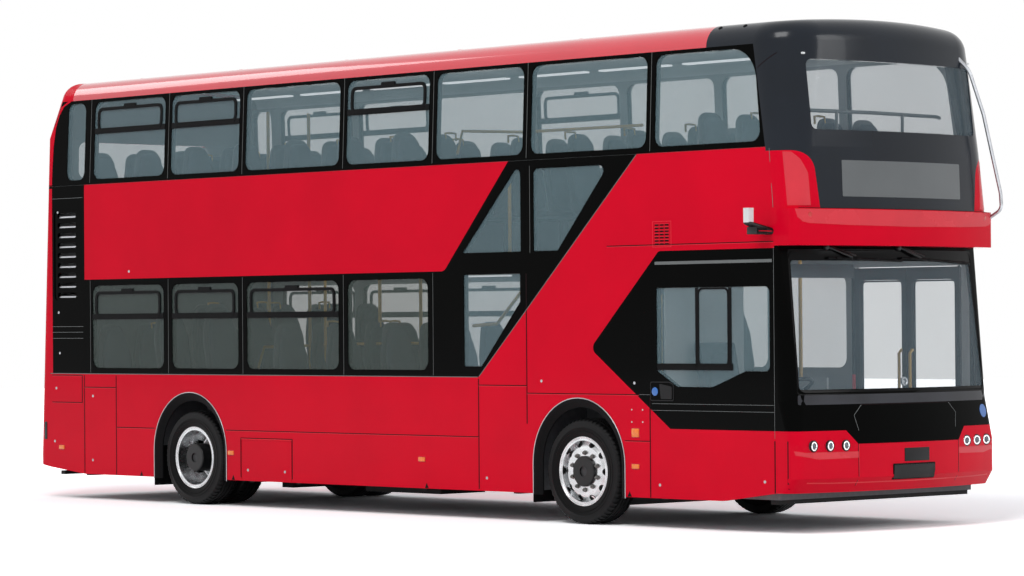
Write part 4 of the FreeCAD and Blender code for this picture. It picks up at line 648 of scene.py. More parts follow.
def islands(thing: bpy.types.Object) -> list[tuple[Vector, Vector]]:
    """Boxes of the separate solids in a CAD node.

    Args:
        thing: The node's object.

    Returns:
        Lowest and highest corner of each, in millimetres.
    """
    bm = bmesh.new()
    bm.from_mesh(thing.data)
    bmesh.ops.remove_doubles(bm, verts=bm.verts[:], dist=1e-6)
    left, boxes = set(bm.verts), []
    while left:
        front = [left.pop()]
        group = list(front)
        while front:
            vert = front.pop()
            for edge in vert.link_edges:
                other = edge.other_vert(vert)
                if other in left:
                    left.remove(other)
                    front.append(other)
                    group.append(other)
        places = [vert.co / MM for vert in group]
        low = Vector([min(place[i] for place in places) for i in range(3)])
        high = Vector([max(place[i] for place in places) for i in range(3)])
        boxes.append((low, high))
    bm.free()
    return sorted(boxes, key=lambda box: (round(box[0].x), round(box[0].y), round(box[0].z)))


# Body sides
PILLARS = (-4444.0, -3147.0, -1970.0, -460.0, 802.0, 2057.0, 3604.0)
HOPPERS = (-3790.0, -2560.0, 168.0)
LOW_HOPPERS = (-3830.0, -2580.0, -1230.0)

SEAMS = (
    ((-4554, 262), (-4554, 360), (-4554, 1262)),
    ((-4015, 262), (-4015, 360), (-4015, 1262)),
    ((-4554, 1142), (-4015, 1142)),
    ((-4015, 742), (-3385, 742)),
    ((-5110, 1262), (-4590, 1262), (-4590, 985), (-5110, 985)),
    ((3585, 262), (3585, 360), (3585, 1120)),
    ((5036, 290), (5036, 390), (5036, 770)),
    ((5181, 330), (5181, 420), (5181, 770)),
)
OFFSIDE_SEAMS = (
    ((-2240, 742), (1411, 742)),
    ((3275, 742), (3581, 742)),
    ((1411, 232), (1411, 360), (1411, 1262)),
    ((2047, 1100), (2047, 2200)),
    ((1411, 1207), (2047, 1207)),
    ((2047, 1140), (3450, 1140)),
    ((2047, 870), (2047, 1100)),
    ((-2010, 235), (-2010, 670), (-1230, 670), (-1230, 235)),
    ((3070, 2420), (3300, 2420), (5036, 2420)),
)
NEARSIDE_SEAMS = (
    ((-2240, 742), (560, 742)),
    ((2600, 1138), (3640, 1138)),
    ((1800, 742), (2130, 742)),
    ((1800, 1138), (2230, 1138)),
)
LOCKS = ((-5071, 583), (-5040, 1128), (-4409, 1053), (-4416, 402), (-4990, 1906), (-4975, 1488),
         (-5010, 2935), (-3790, 2310), (3697, 372), (4920, 431))
OFFSIDE_LOCKS = ((-1903, 362), (-1340, 357), (1514, 375), (2235, 1249), (3398, 1239))


@dataclass
class SideSeams:
    """Seams, locks and small fittings of both body sides.

    Attributes:
        skin: Surface of the body.
        nodes: The frame's nodes.
        gap: Width of a seam.
        lit: Width of the painted highlight beside it.
        upright: Width of an upright seam.
        sill: Level of the grey line under the lower windows.
        shoulder: Level of the line under the upper windows.
        lens_depth: How far a marker's lens stands out.
        bezel_depth: How far its bezel stands out.
        slots: Number of slots in the louvre.
        slots_low: Level where they start.
        slots_high: Level where they end.
        jacks: Places of the jacking marks.
    """

    skin: Skin
    nodes: dict[str, bpy.types.Object]
    gap: float = 7.0
    lit: float = 3.5
    upright: float = 12.0
    sill: float = 1279.0
    shoulder: float = 3204.0
    lens_depth: float = 15.0
    bezel_depth: float = 4.0
    slots: int = 9
    slots_low: float = 2031.0
    slots_high: float = 2952.0
    jacks: tuple[float, ...] = (-3600, -2130, 700, 3330)

    def build(self) -> None:
        """Lays all seams and fittings."""
        self._red_seams()
        self._band_seams()
        self._rear_edge()
        self._markers()
        self._louvre_lips()
        self._grey_lines()
        self._locks()
        self._jacking_marks()
        self._vent()
        self._charge_recess()

    def _red_seams(self) -> None:
        """Seams of the red panels, each a dark line with a painted highlight in lighter red beside it."""
        dark = Piece("panel_seams", Look.SEAM, "red_paint")
        # Lighter red strip beside each level seam: painted highlight.
        light = Piece("panel_seam_highlights", Look.RED_HIGHLIGHT, "red_paint")
        for side in BODY_SIDES:
            for line in SEAMS + (OFFSIDE_SEAMS if side is Side.OFFSIDE else NEARSIDE_SEAMS):
                for a, b in zip(line, line[1:]):
                    level = abs(b[1] - a[1]) < abs(b[0] - a[0])
                    lay_strip(dark, self.skin, side, [a, b], self.gap if level else self.upright, 0.9, 0.8,
                              cell=0.0 if level else 60.0)
                    if level:
                        beside = [(p[0], p[1] - self.gap) for p in (a, b)]
                        lay_strip(light, self.skin, side, beside, self.lit, 1.1, 0.9)
        dark.done()
        light.done()

    def _band_seams(self) -> None:
        """Upright joints between the window panels."""
        piece = Piece("window_band_joints", Look.MOULDING, "black_paint")
        for side in BODY_SIDES:
            for place in PILLARS:
                upper = [(place, 3222), (place, 3640), (place, 4068)]
                lay_seam(piece, self.skin, side, upper, 4.0)
                if place < 1000 and not (side is Side.NEARSIDE and place > 500):
                    lay_seam(piece, self.skin, side, [(place, 1290), (place, 2225)], 3.5)
            for level in (1640, 1702, 1760, 3075):
                lay_seam(piece, self.skin, side, [(-5140, level), (-4570, level)], 4.0)
            for level in (1008, 1065):
                lay_seam(piece, self.skin, side, [(3610, level), (5033, level)], 3.5)
            lay_seam(piece, self.skin, side, [(5036, 790), (5036, 2370)], 3.5)
            if side is Side.OFFSIDE:
                lay_seam(piece, self.skin, side, [(3456, 1140), (3585, 1140)], 3.5)
            lay_seam(piece, self.skin, side, [(5036, 2700), (4995, 3190)], 5.0)
        piece.done()

    def _markers(self) -> None:
        """Domed amber lenses in red bezels."""
        lenses = Piece("marker_lenses", Look.AMBER, "lens_amber")
        bezels = Piece("marker_bezels", Look.RED_LENS, "lens_amber")
        for low, high in islands(self.nodes["side_markers"]):
            side = -1 if low.y < 0 else 1
            big = low.z > 700
            x0, x1 = low.x - 2, high.x + 2
            z0, z1 = (low.z - 26, high.z + 12) if big else (low.z - 2, high.z + 2)
            a, b = sorted((side * HALF_WIDTH, side * (HALF_WIDTH + self.lens_depth)))
            lenses.block((x0, a, z0), (x1, b, z1), 7.0, 3)
            a, b = sorted((side * HALF_WIDTH, side * (HALF_WIDTH + self.bezel_depth)))
            bezels.block((x0 - 5, a, z0 - 5), (x1 + 5, b, z1 + 5), 2.0)
        lenses.done(50.0)
        bezels.done()

    def _rear_edge(self) -> None:
        """Red edge behind the black panels, rounded at the top."""
        piece = Piece("rear_edge_paint", Look.RED, "red_paint")
        for side in BODY_SIDES:
            inner = [(-5098, 1284), (-5098, 3340), (-5088, 3600), (-5056, 3800), (-5000, 3930), (-4920, 4020),
                     (-4810, 4062)]
            outer = [(-4810, 4073), (-4955, 4070), (-5147, 3702), (-5147, 1284)]
            lay_panel(piece, self.skin, side, [inner + outer], 1.6, 1.6, 200.0)
        piece.done()

    def _louvre_lips(self) -> None:
        """Bright lower lips of the louvre's slots."""
        piece = Piece("louvre_lips", Look.STEEL, "black_paint")
        pitch = (self.slots_high - self.slots_low) / self.slots
        for k in range(self.slots):
            z = self.slots_low + pitch * (k + 0.25)
            corners = [(-1262, z - 12), (-1258, z - 12), (-1246, z + 16), (-1250, z + 16)]
            loop = [at(-5008, y, level) for y, level in corners]
            piece.prism(loop, Vector((0.305, 0, 0)))
        piece.done()

    def _grey_lines(self) -> None:
        """Pale lines where black meets red, and the moulding over the cab windows."""
        piece = Piece("grey_mouldings", Look.MOULDING, "black_paint")
        off = Side.OFFSIDE
        for side in BODY_SIDES:
            reach = 1400 if side is Side.OFFSIDE else 560
            lay_strip(piece, self.skin, side, [(-5140, self.sill), (reach, self.sill)], 7.0, 1.6, 1.6)
            lay_strip(piece, self.skin, side, [(-5140, self.shoulder), (4940, self.shoulder)], 5.0, 1.6, 1.6)
        lay_strip(piece, self.skin, off, [(1418, 1284), (2047, 1877), (3440, 3198)], 6.0, 1.6, 1.6)
        lay_strip(piece, self.skin, off, [(3657, 2262), (5019, 2262)], 26.0, 5.0, 6.0)
        lay_seam(piece, self.skin, off, [(2100, 2382), (2100, 3150)], 3.5)
        piece.done()

    def _locks(self) -> None:
        """Round locks of the flaps."""
        piece = Piece("flap_locks", Look.STEEL, "axle_iron")
        profile = [(0, 0), (0, 14), (3.0, 13), (4.0, 9), (2.5, 8), (2.5, 0)]
        for side in BODY_SIDES:
            for x, z in LOCKS + (OFFSIDE_LOCKS if side is Side.OFFSIDE else ()):
                piece.lathe(profile, self.skin.lay(side, x, z, -1.0), side.out(), 20)
        for x in (3362, 3494):
            for z in (905, 1010):
                centre = self.skin.lay(Side.OFFSIDE, x, z, -1.0)
                piece.lathe([(0, 0), (0, 8), (3.0, 6), (3.5, 0)], centre, Side.OFFSIDE.out(), 14)
        piece.done()

    def _jacking_marks(self) -> None:
        """Small dark triangles on the skirt's lower edge."""
        piece = Piece("jacking_marks", Look.RUBBER, "black_paint")
        for side in BODY_SIDES:
            for x in self.jacks:
                mark = [(x - 26, 262), (x + 26, 262), (x, 310)]
                lay_panel(piece, self.skin, side, [mark], SEAM_LIFT, SEAM_THICK)
        piece.done()

    def _vent(self) -> None:
        """Field of small slots in the red side over the cab; its frame and the lines over the slots are
        lighter red, a painted highlight.
        """
        # Lighter red frame and lines over the slots: painted highlight.
        frame = Piece("cab_vent_frame", Look.RED_HIGHLIGHT, "red_paint")
        slots = Piece("cab_vent_slots", Look.SEAM, "red_paint")
        for side in BODY_SIDES:
            lay_strip(frame, self.skin, side, box_loop(3632, 2400, 3852, 2618), 5.0, 1.5, 1.5, closed=True)
            for row in range(7):
                for column in range(3):
                    x, z = 3657 + column * 60, 2418 + row * 27
                    slot = rounded(box_loop(x, z, x + 48, z + 13), 5, 3)
                    lay_panel(slots, self.skin, side, [slot], SEAM_LIFT, SEAM_THICK)
                    lay_strip(frame, self.skin, side, [(x, z + 17), (x + 48, z + 17)], 3.0, 3.0, 3.0)
        frame.done()
        slots.done()

    def _charge_recess(self) -> None:
        """Charging flap with its inclined cover and a blank blue disc."""
        lid = Piece("charge_flap", Look.CAB, "black_paint")
        off = Side.OFFSIDE
        outline = rounded([(3596, 1092), (3867, 1092), (3867, 1230), (3820, 1249), (3596, 1249)], 14, 4)
        lay_strip(lid, self.skin, off, outline, 7.0, 3.0, 3.0, closed=True)
        cover = rounded([(3720, 1105), (3850, 1105), (3850, 1210), (3700, 1235)], 12, 3)
        lay_panel(lid, self.skin, off, [cover], 5.0, 5.0)
        lid.done()
        disc = Piece("side_disc", Look.BLUE, "lens_clear")
        centre = self.skin.lay(off, 3645, 1168, 0.0)
        disc.lathe([(0, 0), (0, 36), (2.4, 36), (3.0, 33), (3.0, 0)], centre, off.out(), 32)
        disc.done()


@dataclass
class WindowTrim:
    """Opening top panes and dividers of the side windows.

    Attributes:
        nodes: The frame's nodes.
        skin: Outer surface with its panes.
        bar_share: Height of the bar under an opening pane, as a share of the window.
        widest_gap: Farthest that a window's middle may lie from a listed opening pane.
    """

    nodes: dict[str, bpy.types.Object]
    skin: Skin
    bar_share: float = 0.63
    widest_gap: float = 90.0

    def build(self) -> None:
        """Builds the trim of every side window."""
        frames = Piece("hopper_frames", Look.RUBBER, "black_paint")
        for low, high in islands(self.nodes["side_glass"]):
            side = Side.OFFSIDE if low.y < 0 else Side.NEARSIDE
            middle, wide = (low.x + high.x) / 2, high.x - low.x
            listed = HOPPERS if low.z > 3000 else LOW_HOPPERS
            if wide > 600 and min(abs(middle - place) for place in listed) < self.widest_gap:
                self._hopper(frames, side, low, high)
        self._cab_dividers(frames)
        frames.done()

    def _hopper(self, piece: Piece, side: Side, low: Vector, high: Vector) -> None:
        """Bar, arched frame and catch of one opening top pane.

        Args:
            piece: The piece that receives them.
            side: Side of the bus.
            low: Lowest corner of the window.
            high: Highest corner of the window.
        """
        x0, x1 = low.x + 4, high.x - 4
        bar = low.z + (high.z - low.z) * self.bar_share
        lay_panel(piece, self.skin, side, [box_loop(x0, bar - 34, x1, bar + 22)], 9.0, 14.0)
        lay_panel(piece, self.skin, side, [box_loop(x0 + 70, bar - 12, x1 - 70, bar + 2)], 14.0, 5.0)
        left, right, head = x0 + 62, x1 - 62, high.z - 74
        outer = rounded([(left, bar), (left, head), (right, head), (right, bar)], 62, 6)
        lay_strip(piece, self.skin, side, outer, 30.0, 12.0, 16.0, closed=True)
        middle = (x0 + x1) / 2
        grip = rounded(box_loop(middle - 95, head + 8, middle + 95, head + 40), 10, 3)
        lay_panel(piece, self.skin, side, [grip], 16.0, 20.0)

    def _cab_dividers(self, piece: Piece) -> None:
        """Frames of the driver's side window, and a plain one for the sliding pane.

        Args:
            piece: The piece that receives them.
        """
        off = Side.OFFSIDE
        lay_panel(piece, self.skin, off, [box_loop(3668, 1352, 4560, 1408)], 6.0, 10.0)
        for x in (4143, 4530):
            lay_panel(piece, self.skin, off, [box_loop(x - 15, 1370, x + 15, 2048)], 6.0, 10.0)
        pane = rounded(box_loop(4160, 1392, 4510, 2040), 55, 5)
        lay_strip(piece, self.skin, off, pane, 16.0, 7.0, 10.0, closed=True)


@dataclass
class ArchTrim:
    """Wheel arch lips and mudflaps.

    Attributes:
        radius: Radius of the arch opening.
        lip: Width of the black lip.
        foot: Level where the lip ends.
        top: Level of the arch's crown.
        steps: Steps round the arch.
        flap_low: Level of a mudflap's lower edge.
        flap_high: Level of its upper edge.
        flap_thick: Its thickness.
        flap_back: Its distance behind the arch opening.
        flap_outer: Its outer edge, from the middle of the bus.
    """

    radius: float = 573.0
    lip: float = 78.0
    foot: float = 246.0
    top: float = 1100.0
    steps: int = 28
    flap_low: float = 175.0
    flap_high: float = 620.0
    flap_thick: float = 8.0
    flap_back: float = 18.0
    flap_outer: float = 1262.0

    def build(self) -> None:
        """Builds lips, mudflaps and a bright steel tube along each lip's edge of all arches; the tube is a
        painted highlight on the rubber lip.
        """
        lips = Piece("arch_lips", Look.RUBBER, "black_paint")
        edges = Piece("arch_lip_highlights", Look.STEEL, "black_paint")
        flaps = Piece("mudflaps", Look.RUBBER, "tyre_rubber")
        for side in (OFFSIDE, NEARSIDE):
            for axle, inner in ((FRONT_AXLE, 760), (REAR_AXLE, 640)):
                self._lip(lips, side, axle)
                # Steel tube along the rubber lip's edge: painted highlight.
                path = [at(x, side * (HALF_WIDTH + 4), z) for x, z in self._arch(axle, self.radius + 4)]
                edges.tube(path, 4.5, 8)
                x = axle - self.radius - self.flap_back
                low, high = sorted((side * inner, side * self.flap_outer))
                flaps.block((x - self.flap_thick, low, self.flap_low), (x, high, self.flap_high), 3.0)
        lips.done(50.0)
        edges.done(50.0)
        flaps.done()

    def _arch(self, axle: float, radius: float) -> list[Point]:
        """Line of an arch from its rear foot over the top to its front foot.

        Args:
            axle: Place of the axle.
            radius: Radius of the line.

        Returns:
            The line's points (along, up).
        """
        level = self.top - self.radius
        turns = [pi * k / self.steps for k in range(self.steps + 1)]
        round_part = [(axle - radius * cos(turn), level + radius * sin(turn)) for turn in turns]
        return [(axle - radius, self.foot), *round_part, (axle + radius, self.foot)]

    def _lip(self, lips: Piece, side: int, axle: float) -> None:
        """Rolled band inside one opening: a section spun over the wheel and drawn down to both feet.

        Args:
            lips: The piece that receives it.
            side: -1 for the offside, 1 for the nearside.
            axle: Place of the axle.
        """
        bm, level = lips.bm, self.top - self.radius
        section = [(self.radius + 2, -7), (self.radius + 6, 2), (self.radius - 4, 6), (self.radius - 26, 1),
                   (self.radius - self.lip, -37), (self.radius - self.lip, -49), (self.radius - 14, -35)]
        verts = [bm.verts.new(at(axle - radius, side * (HALF_WIDTH + out), level)) for radius, out in section]
        loop = [bm.edges.new((verts[i - 1], verts[i])) for i in range(len(verts))]
        spun = bmesh.ops.spin(bm, geom=[*verts, *loop], cent=at(axle, 0, level), axis=(0, 1, 0), angle=pi,
                              steps=self.steps)["geom_last"]
        last = [item for item in spun if isinstance(item, bmesh.types.BMEdge)]
        for end in (loop, last):
            made = bmesh.ops.extrude_edge_only(bm, edges=end)["geom"]
            bmesh.ops.translate(bm, vec=at(0, 0, self.foot - level), verts=vertices(made))
            foot = [item for item in made
                    if isinstance(item, bmesh.types.BMEdge) and len(item.link_faces) == 1]
            bmesh.ops.contextual_create(bm, geom=foot)
        bmesh.ops.recalc_face_normals(bm, faces=bm.faces[:])


# Front
@dataclass
class NoseDetails:
    """Fittings of the front: glass borders, wipers, lamps, blank plate, hatch lines and blank discs.

    Attributes:
        skin: Surface of the front.
        nodes: The frame's nodes.
    """

    skin: Skin
    nodes: dict[str, bpy.types.Object]

    def build(self) -> None:
        """Builds every fitting."""
        self._display()
        self._wipers()
        self._screen_border()
        self._lamps()
        self._plate()
        self._hatch()
        self._discs()
        self._brow()
        self._facet_sheen()
        self._sensor()

    def _display(self) -> None:
        """Blank destination panel behind its grey glass."""
        piece = Piece("destination_panel", Look.DISPLAY, "screen_glass")
        loop = rounded(box_loop(-750, 2792, 750, 3094), 10, 3)
        lay_panel(piece, self.skin, Side.FRONT, [loop], 2.5, 2.5, 90.0)
        piece.done()

    def _wipers(self) -> None:
        """Two wipers parked along the top of the windscreen."""
        arms = Piece("wiper_arms", Look.HUB, "frame_black")
        blades = Piece("wiper_blades", Look.RUBBER, "frame_black")
        for root, elbow, tip in ((-780, -520, 90), (60, 330, 1110)):
            start = self.skin.lay(Side.FRONT, root, 2372, 8)
            bend = self.skin.lay(Side.FRONT, elbow, 2288, 34)
            shoulder = start + Vector((0.030, 0.05, -0.012))
            arms.tube([start + Vector((0.012, 0, 0.004)), shoulder, bend], 11.0, 10)
            arms.tube([start + Vector((0.010, 0.05, 0.006)), bend + Vector((0.004, 0.04, 0.012))], 7.0, 8)
            arms.lathe([(-6, 0), (-6, 26), (18, 24), (26, 16), (28, 0)], start, Vector((1, 0, 0)), 20)
            path = []
            for k in range(9):
                y = elbow - 250 + (tip - elbow + 250) * k / 8
                z = 2282 - 20 * k / 8 if tip < 500 else 2286 - 38 * k / 8
                path.append(self.skin.lay(Side.FRONT, y, z, 24))
            blades.tube(path, 9.0, 8)
            blades.tube([point + Vector((-0.010, 0, -0.008)) for point in path], 4.0, 6)
            for k in (1, 3, 5, 7):
                point = path[k]
                low, high = point - Vector((0.008, 0.03, 0.009)), point + Vector((0.012, 0.03, 0.011))
                blades.block(tuple(low / MM), tuple(high / MM), 4.0)
        arms.done()
        blades.done()

    def _screen_border(self) -> None:
        """Printed border that softens the edge of the lower windscreen."""
        piece = Piece("windscreen_border", Look.FRIT, "screen_glass")
        outer = rounded([(-1192, 1150), (1192, 1150), (1166, 2356), (-1166, 2356)], 30, 4)
        inner = rounded([(-1168, 1192), (1168, 1192), (1138, 2262), (-1138, 2262)], 26, 4)
        lay_panel(piece, self.skin, Side.FRONT, [outer, inner], 1.4, 1.2, 100.0)
        piece.done()
        sill = Piece("windscreen_sill", Look.FRIT_GREY, "screen_glass")
        band = [(-1196, 1068), (1196, 1068), (1190, 1148), (-1190, 1148)]
        lay_panel(sill, self.skin, Side.FRONT, [rounded(band, 12, 3)], 1.6, 1.4, 100.0)
        sill.done()

    def _lamps(self) -> None:
        """Round lamps: black cup, bezel and projector lens; the cover glass is the CAD lamp's own."""
        bezels = Piece("headlamp_bezels", Look.CHROME, "lens_clear")
        cores = Piece("headlamp_projectors", Look.SCREEN_GLOW, "lens_clear")
        cups = Piece("headlamp_cups", Look.HUB, "black_paint")
        for low, high in islands(self.nodes["headlamps"]):
            middle = (low + high) / 2
            front = self.skin.lay(Side.FRONT, middle.y, middle.z, 0)
            lean = (self.skin.lay(Side.FRONT, middle.y, middle.z, 100) - front).normalized()
            lean.z = 0
            lean.normalize()
            front = Vector((high.x, middle.y, middle.z)) * MM
            cups.lathe([(-8, 0), (-8, 48), (5, 48), (7, 44), (2, 40), (-4, 0)], front, lean, 36)
            bezels.lathe([(0, 26), (2, 41), (7, 39), (9, 33), (6, 26)], front, lean, 40)
            cores.lathe([(-2, 0), (-2, 25), (4, 24), (10, 17), (13, 8), (14, 0)], front, lean, 32)
        bezels.done(50.0)
        cores.done(50.0)
        cups.done(50.0)

    def _plate(self) -> None:
        """Blank number plate, its holder and the cover of the towing eye."""
        holder = Piece("plate_holder", Look.RUBBER, "black_paint")
        frame = rounded(box_loop(-248, 428, 288, 562), 8, 3)
        lay_panel(holder, self.skin, Side.FRONT, [frame], 6.0, 6.0, 90.0)
        holder.done()
        plate = Piece("blank_plate", Look.PLATE, "black_paint")
        blank = rounded(box_loop(-240, 440, 280, 551), 10, 3)
        lay_panel(plate, self.skin, Side.FRONT, [blank], 9.0, 3.0, 90.0)
        plate.done()
        cover = Piece("tow_cover", Look.CAB, "black_paint")
        face = self.skin.lay(Side.FRONT, -80, 600, 0).x / MM
        cover.block((face - 14, -106, 578), (face + 5, 208, 690), 4.0)
        cover.done()

    def _hatch(self) -> None:
        """Seams of the front hatch and the bumper's joints, with painted highlight in lighter red beside the
        joints and along the bumper's crease.
        """
        piece = Piece("front_seams", Look.SEAM, "black_paint")
        # Lighter red lines beside the joints and along the crease: painted highlight.
        light = Piece("front_seam_highlights", Look.RED_HIGHLIGHT, "red_paint")
        hatch = [(-1150, 1062), (-555, 1062), (-648, 975), (-618, 850), (-560, 738)]
        lay_seam(piece, self.skin, Side.FRONT, [(-560, 1062), (560, 1062)], 5.0, cell=60.0)
        grey = Piece("front_hatch_edges", Look.MOULDING, "black_paint")
        lay_seam(grey, self.skin, Side.FRONT, hatch[1:4], 4.0, cell=60.0)
        lay_seam(grey, self.skin, Side.FRONT, [(-y, z) for y, z in hatch[1:4]], 4.0, cell=60.0)
        grey.done()
        for side in (-1, 1):
            lay_seam(piece, self.skin, Side.FRONT, [(side * 640, 738), (side * 636, 390)], 6.0, cell=40.0)
            beside = [(side * 640 + 6, 735), (side * 636 + 6, 392)]
            lay_strip(light, self.skin, Side.FRONT, beside, 4.0, 1.2, 1.0, cell=40.0)
        crease = [(-1150, 424), (-900, 418), (0, 414), (900, 418), (1150, 424)]
        lay_strip(light, self.skin, Side.FRONT, crease, 9.0, 1.6, 1.4, cell=60.0)
        piece.done()
        light.done()

    def _discs(self) -> None:
        """Blank blue disc on the nearside of the front."""
        piece = Piece("front_disc", Look.BLUE, "lens_clear")
        point = self.skin.lay(Side.FRONT, 1110, 975, 0.4)
        normal = (self.skin.lay(Side.FRONT, 1110, 975, 100) - point).normalized()
        piece.lathe([(0, 0), (0, 58), (2.0, 57), (2.4, 0)], point, normal, 36)
        piece.done()

    def _facet_sheen(self) -> None:
        """Painted reflection: paler red on the upper facets of cheeks, brow and lamp pockets, where the sky's
        sheen falls.
        """
        # Paler red on the upper facets: painted reflection of the sky.
        piece = Piece("front_facet_sheen", Look.RED_SHEEN, "red_paint")
        cheek = [(-1238, 3160), (-1198, 3158), (-1146, 3096), (-1095, 2985), (-1079, 2714), (-1247, 2714)]
        crease = [(-1252, 2684), (-1236, 2615), (-1190, 2580), (-1120, 2566), (-720, 2554), (0, 2546)]
        brow = crease + [(-y, z) for y, z in reversed(crease[:-1])]
        pocket = [(-1262, 690), (-1255, 655), (-1050, 618), (-640, 624), (-640, 676), (-1180, 676)]
        lay_panel(piece, self.skin, Side.FRONT, [brow], 2.4, 2.4, 24.0)
        for side in (1, -1):
            for loop in (cheek, pocket):
                lay_panel(piece, self.skin, Side.FRONT, [[(side * y, z) for y, z in loop]], 2.4, 2.4, 18.0)
        piece.done(50.0)

    def _brow(self) -> None:
        """Shadow seam over the brow and the round plugs of its lamps' brackets."""
        seam = Piece("brow_seam", Look.SEAM, "red_paint")
        path = [(-1190, 2692), (-900, 2692), (0, 2692), (900, 2692), (1190, 2692)]
        lay_seam(seam, self.skin, Side.FRONT, path, 7.0, cell=70.0)
        seam.done()
        plugs = Piece("brow_plugs", Look.RED_LENS, "lens_red")
        for y in (-1118, 1118):
            point = self.skin.lay(Side.FRONT, y, 2640, -1)
            normal = (self.skin.lay(Side.FRONT, y, 2640, 100) - point).normalized()
            plugs.lathe([(0, 0), (0, 22), (4, 20), (5, 0)], point, normal, 24)
        plugs.done()

    def _sensor(self) -> None:
        """Ring sensor on the inside of the windscreen's foot."""
        piece = Piece("screen_sensor", Look.STEEL, "cab_grey")
        point = self.skin.lay(Side.FRONT, 13, 1248, -26)
        normal = (self.skin.lay(Side.FRONT, 13, 1248, 100) - point).normalized()
        piece.lathe([(0, 20), (0, 40), (14, 38), (18, 32), (14, 22)], point, normal, 32)
        piece.lathe([(-4, 0), (-4, 14), (6, 13), (8, 0)], point, normal, 20)
        piece.done()


@dataclass
class TopDetails:
    """Fittings of the dome and the roof.

    Attributes:
        skin: Surface of the dome and the roof.
    """

    skin: Skin

    def build(self) -> None:
        """Builds studs, marker lamps and roof joints; the joints are lighter red strips, a painted highlight.
        """
        studs = Piece("dome_studs", Look.RUBBER, "black_paint")
        profile = [(0, 0), (0, 20), (6, 18), (8, 10), (5, 9), (5, 0)]
        for x in (4324, 4610):
            for side in BODY_SIDES:
                sign = side.out().y
                point = self.skin.lay(Side.ROOF, x, sign * 1140, -1)
                studs.lathe(profile, point, Vector((0, sign * 0.6, 0.8)), 18)
        studs.done()
        lamps = Piece("dome_marker_lamps", Look.WHITE, "lens_clear")
        for y in (-1040, 1040):
            point = self.skin.lay(Side.FRONT, y, 3978, -2)
            low, high = point / MM - Vector((6, 30, 9)), point / MM + Vector((8, 30, 9))
            lamps.block(tuple(low), tuple(high), 5.0)
        lamps.done()
        # Lighter red strips over the roof joints: painted highlight.
        seams = Piece("roof_joints", Look.RED_HIGHLIGHT, "red_paint")
        for x in (-3900, -2300, -700, 900, 2500):
            path = [(x, -1020 + 2040 * k / 12) for k in range(13)]
            lay_strip(seams, self.skin, Side.ROOF, path, 34.0, 3.0, 3.0)
        seams.done()
        dark = Piece("dome_joints", Look.SEAM, "black_paint")
        for side in BODY_SIDES:
            path = [(4841, 3864), (4905, 3910), (4960, 3950), (5015, 3985)]
            lay_seam(dark, self.skin, side, path, 6.0, cell=30.0)
        dark.done()


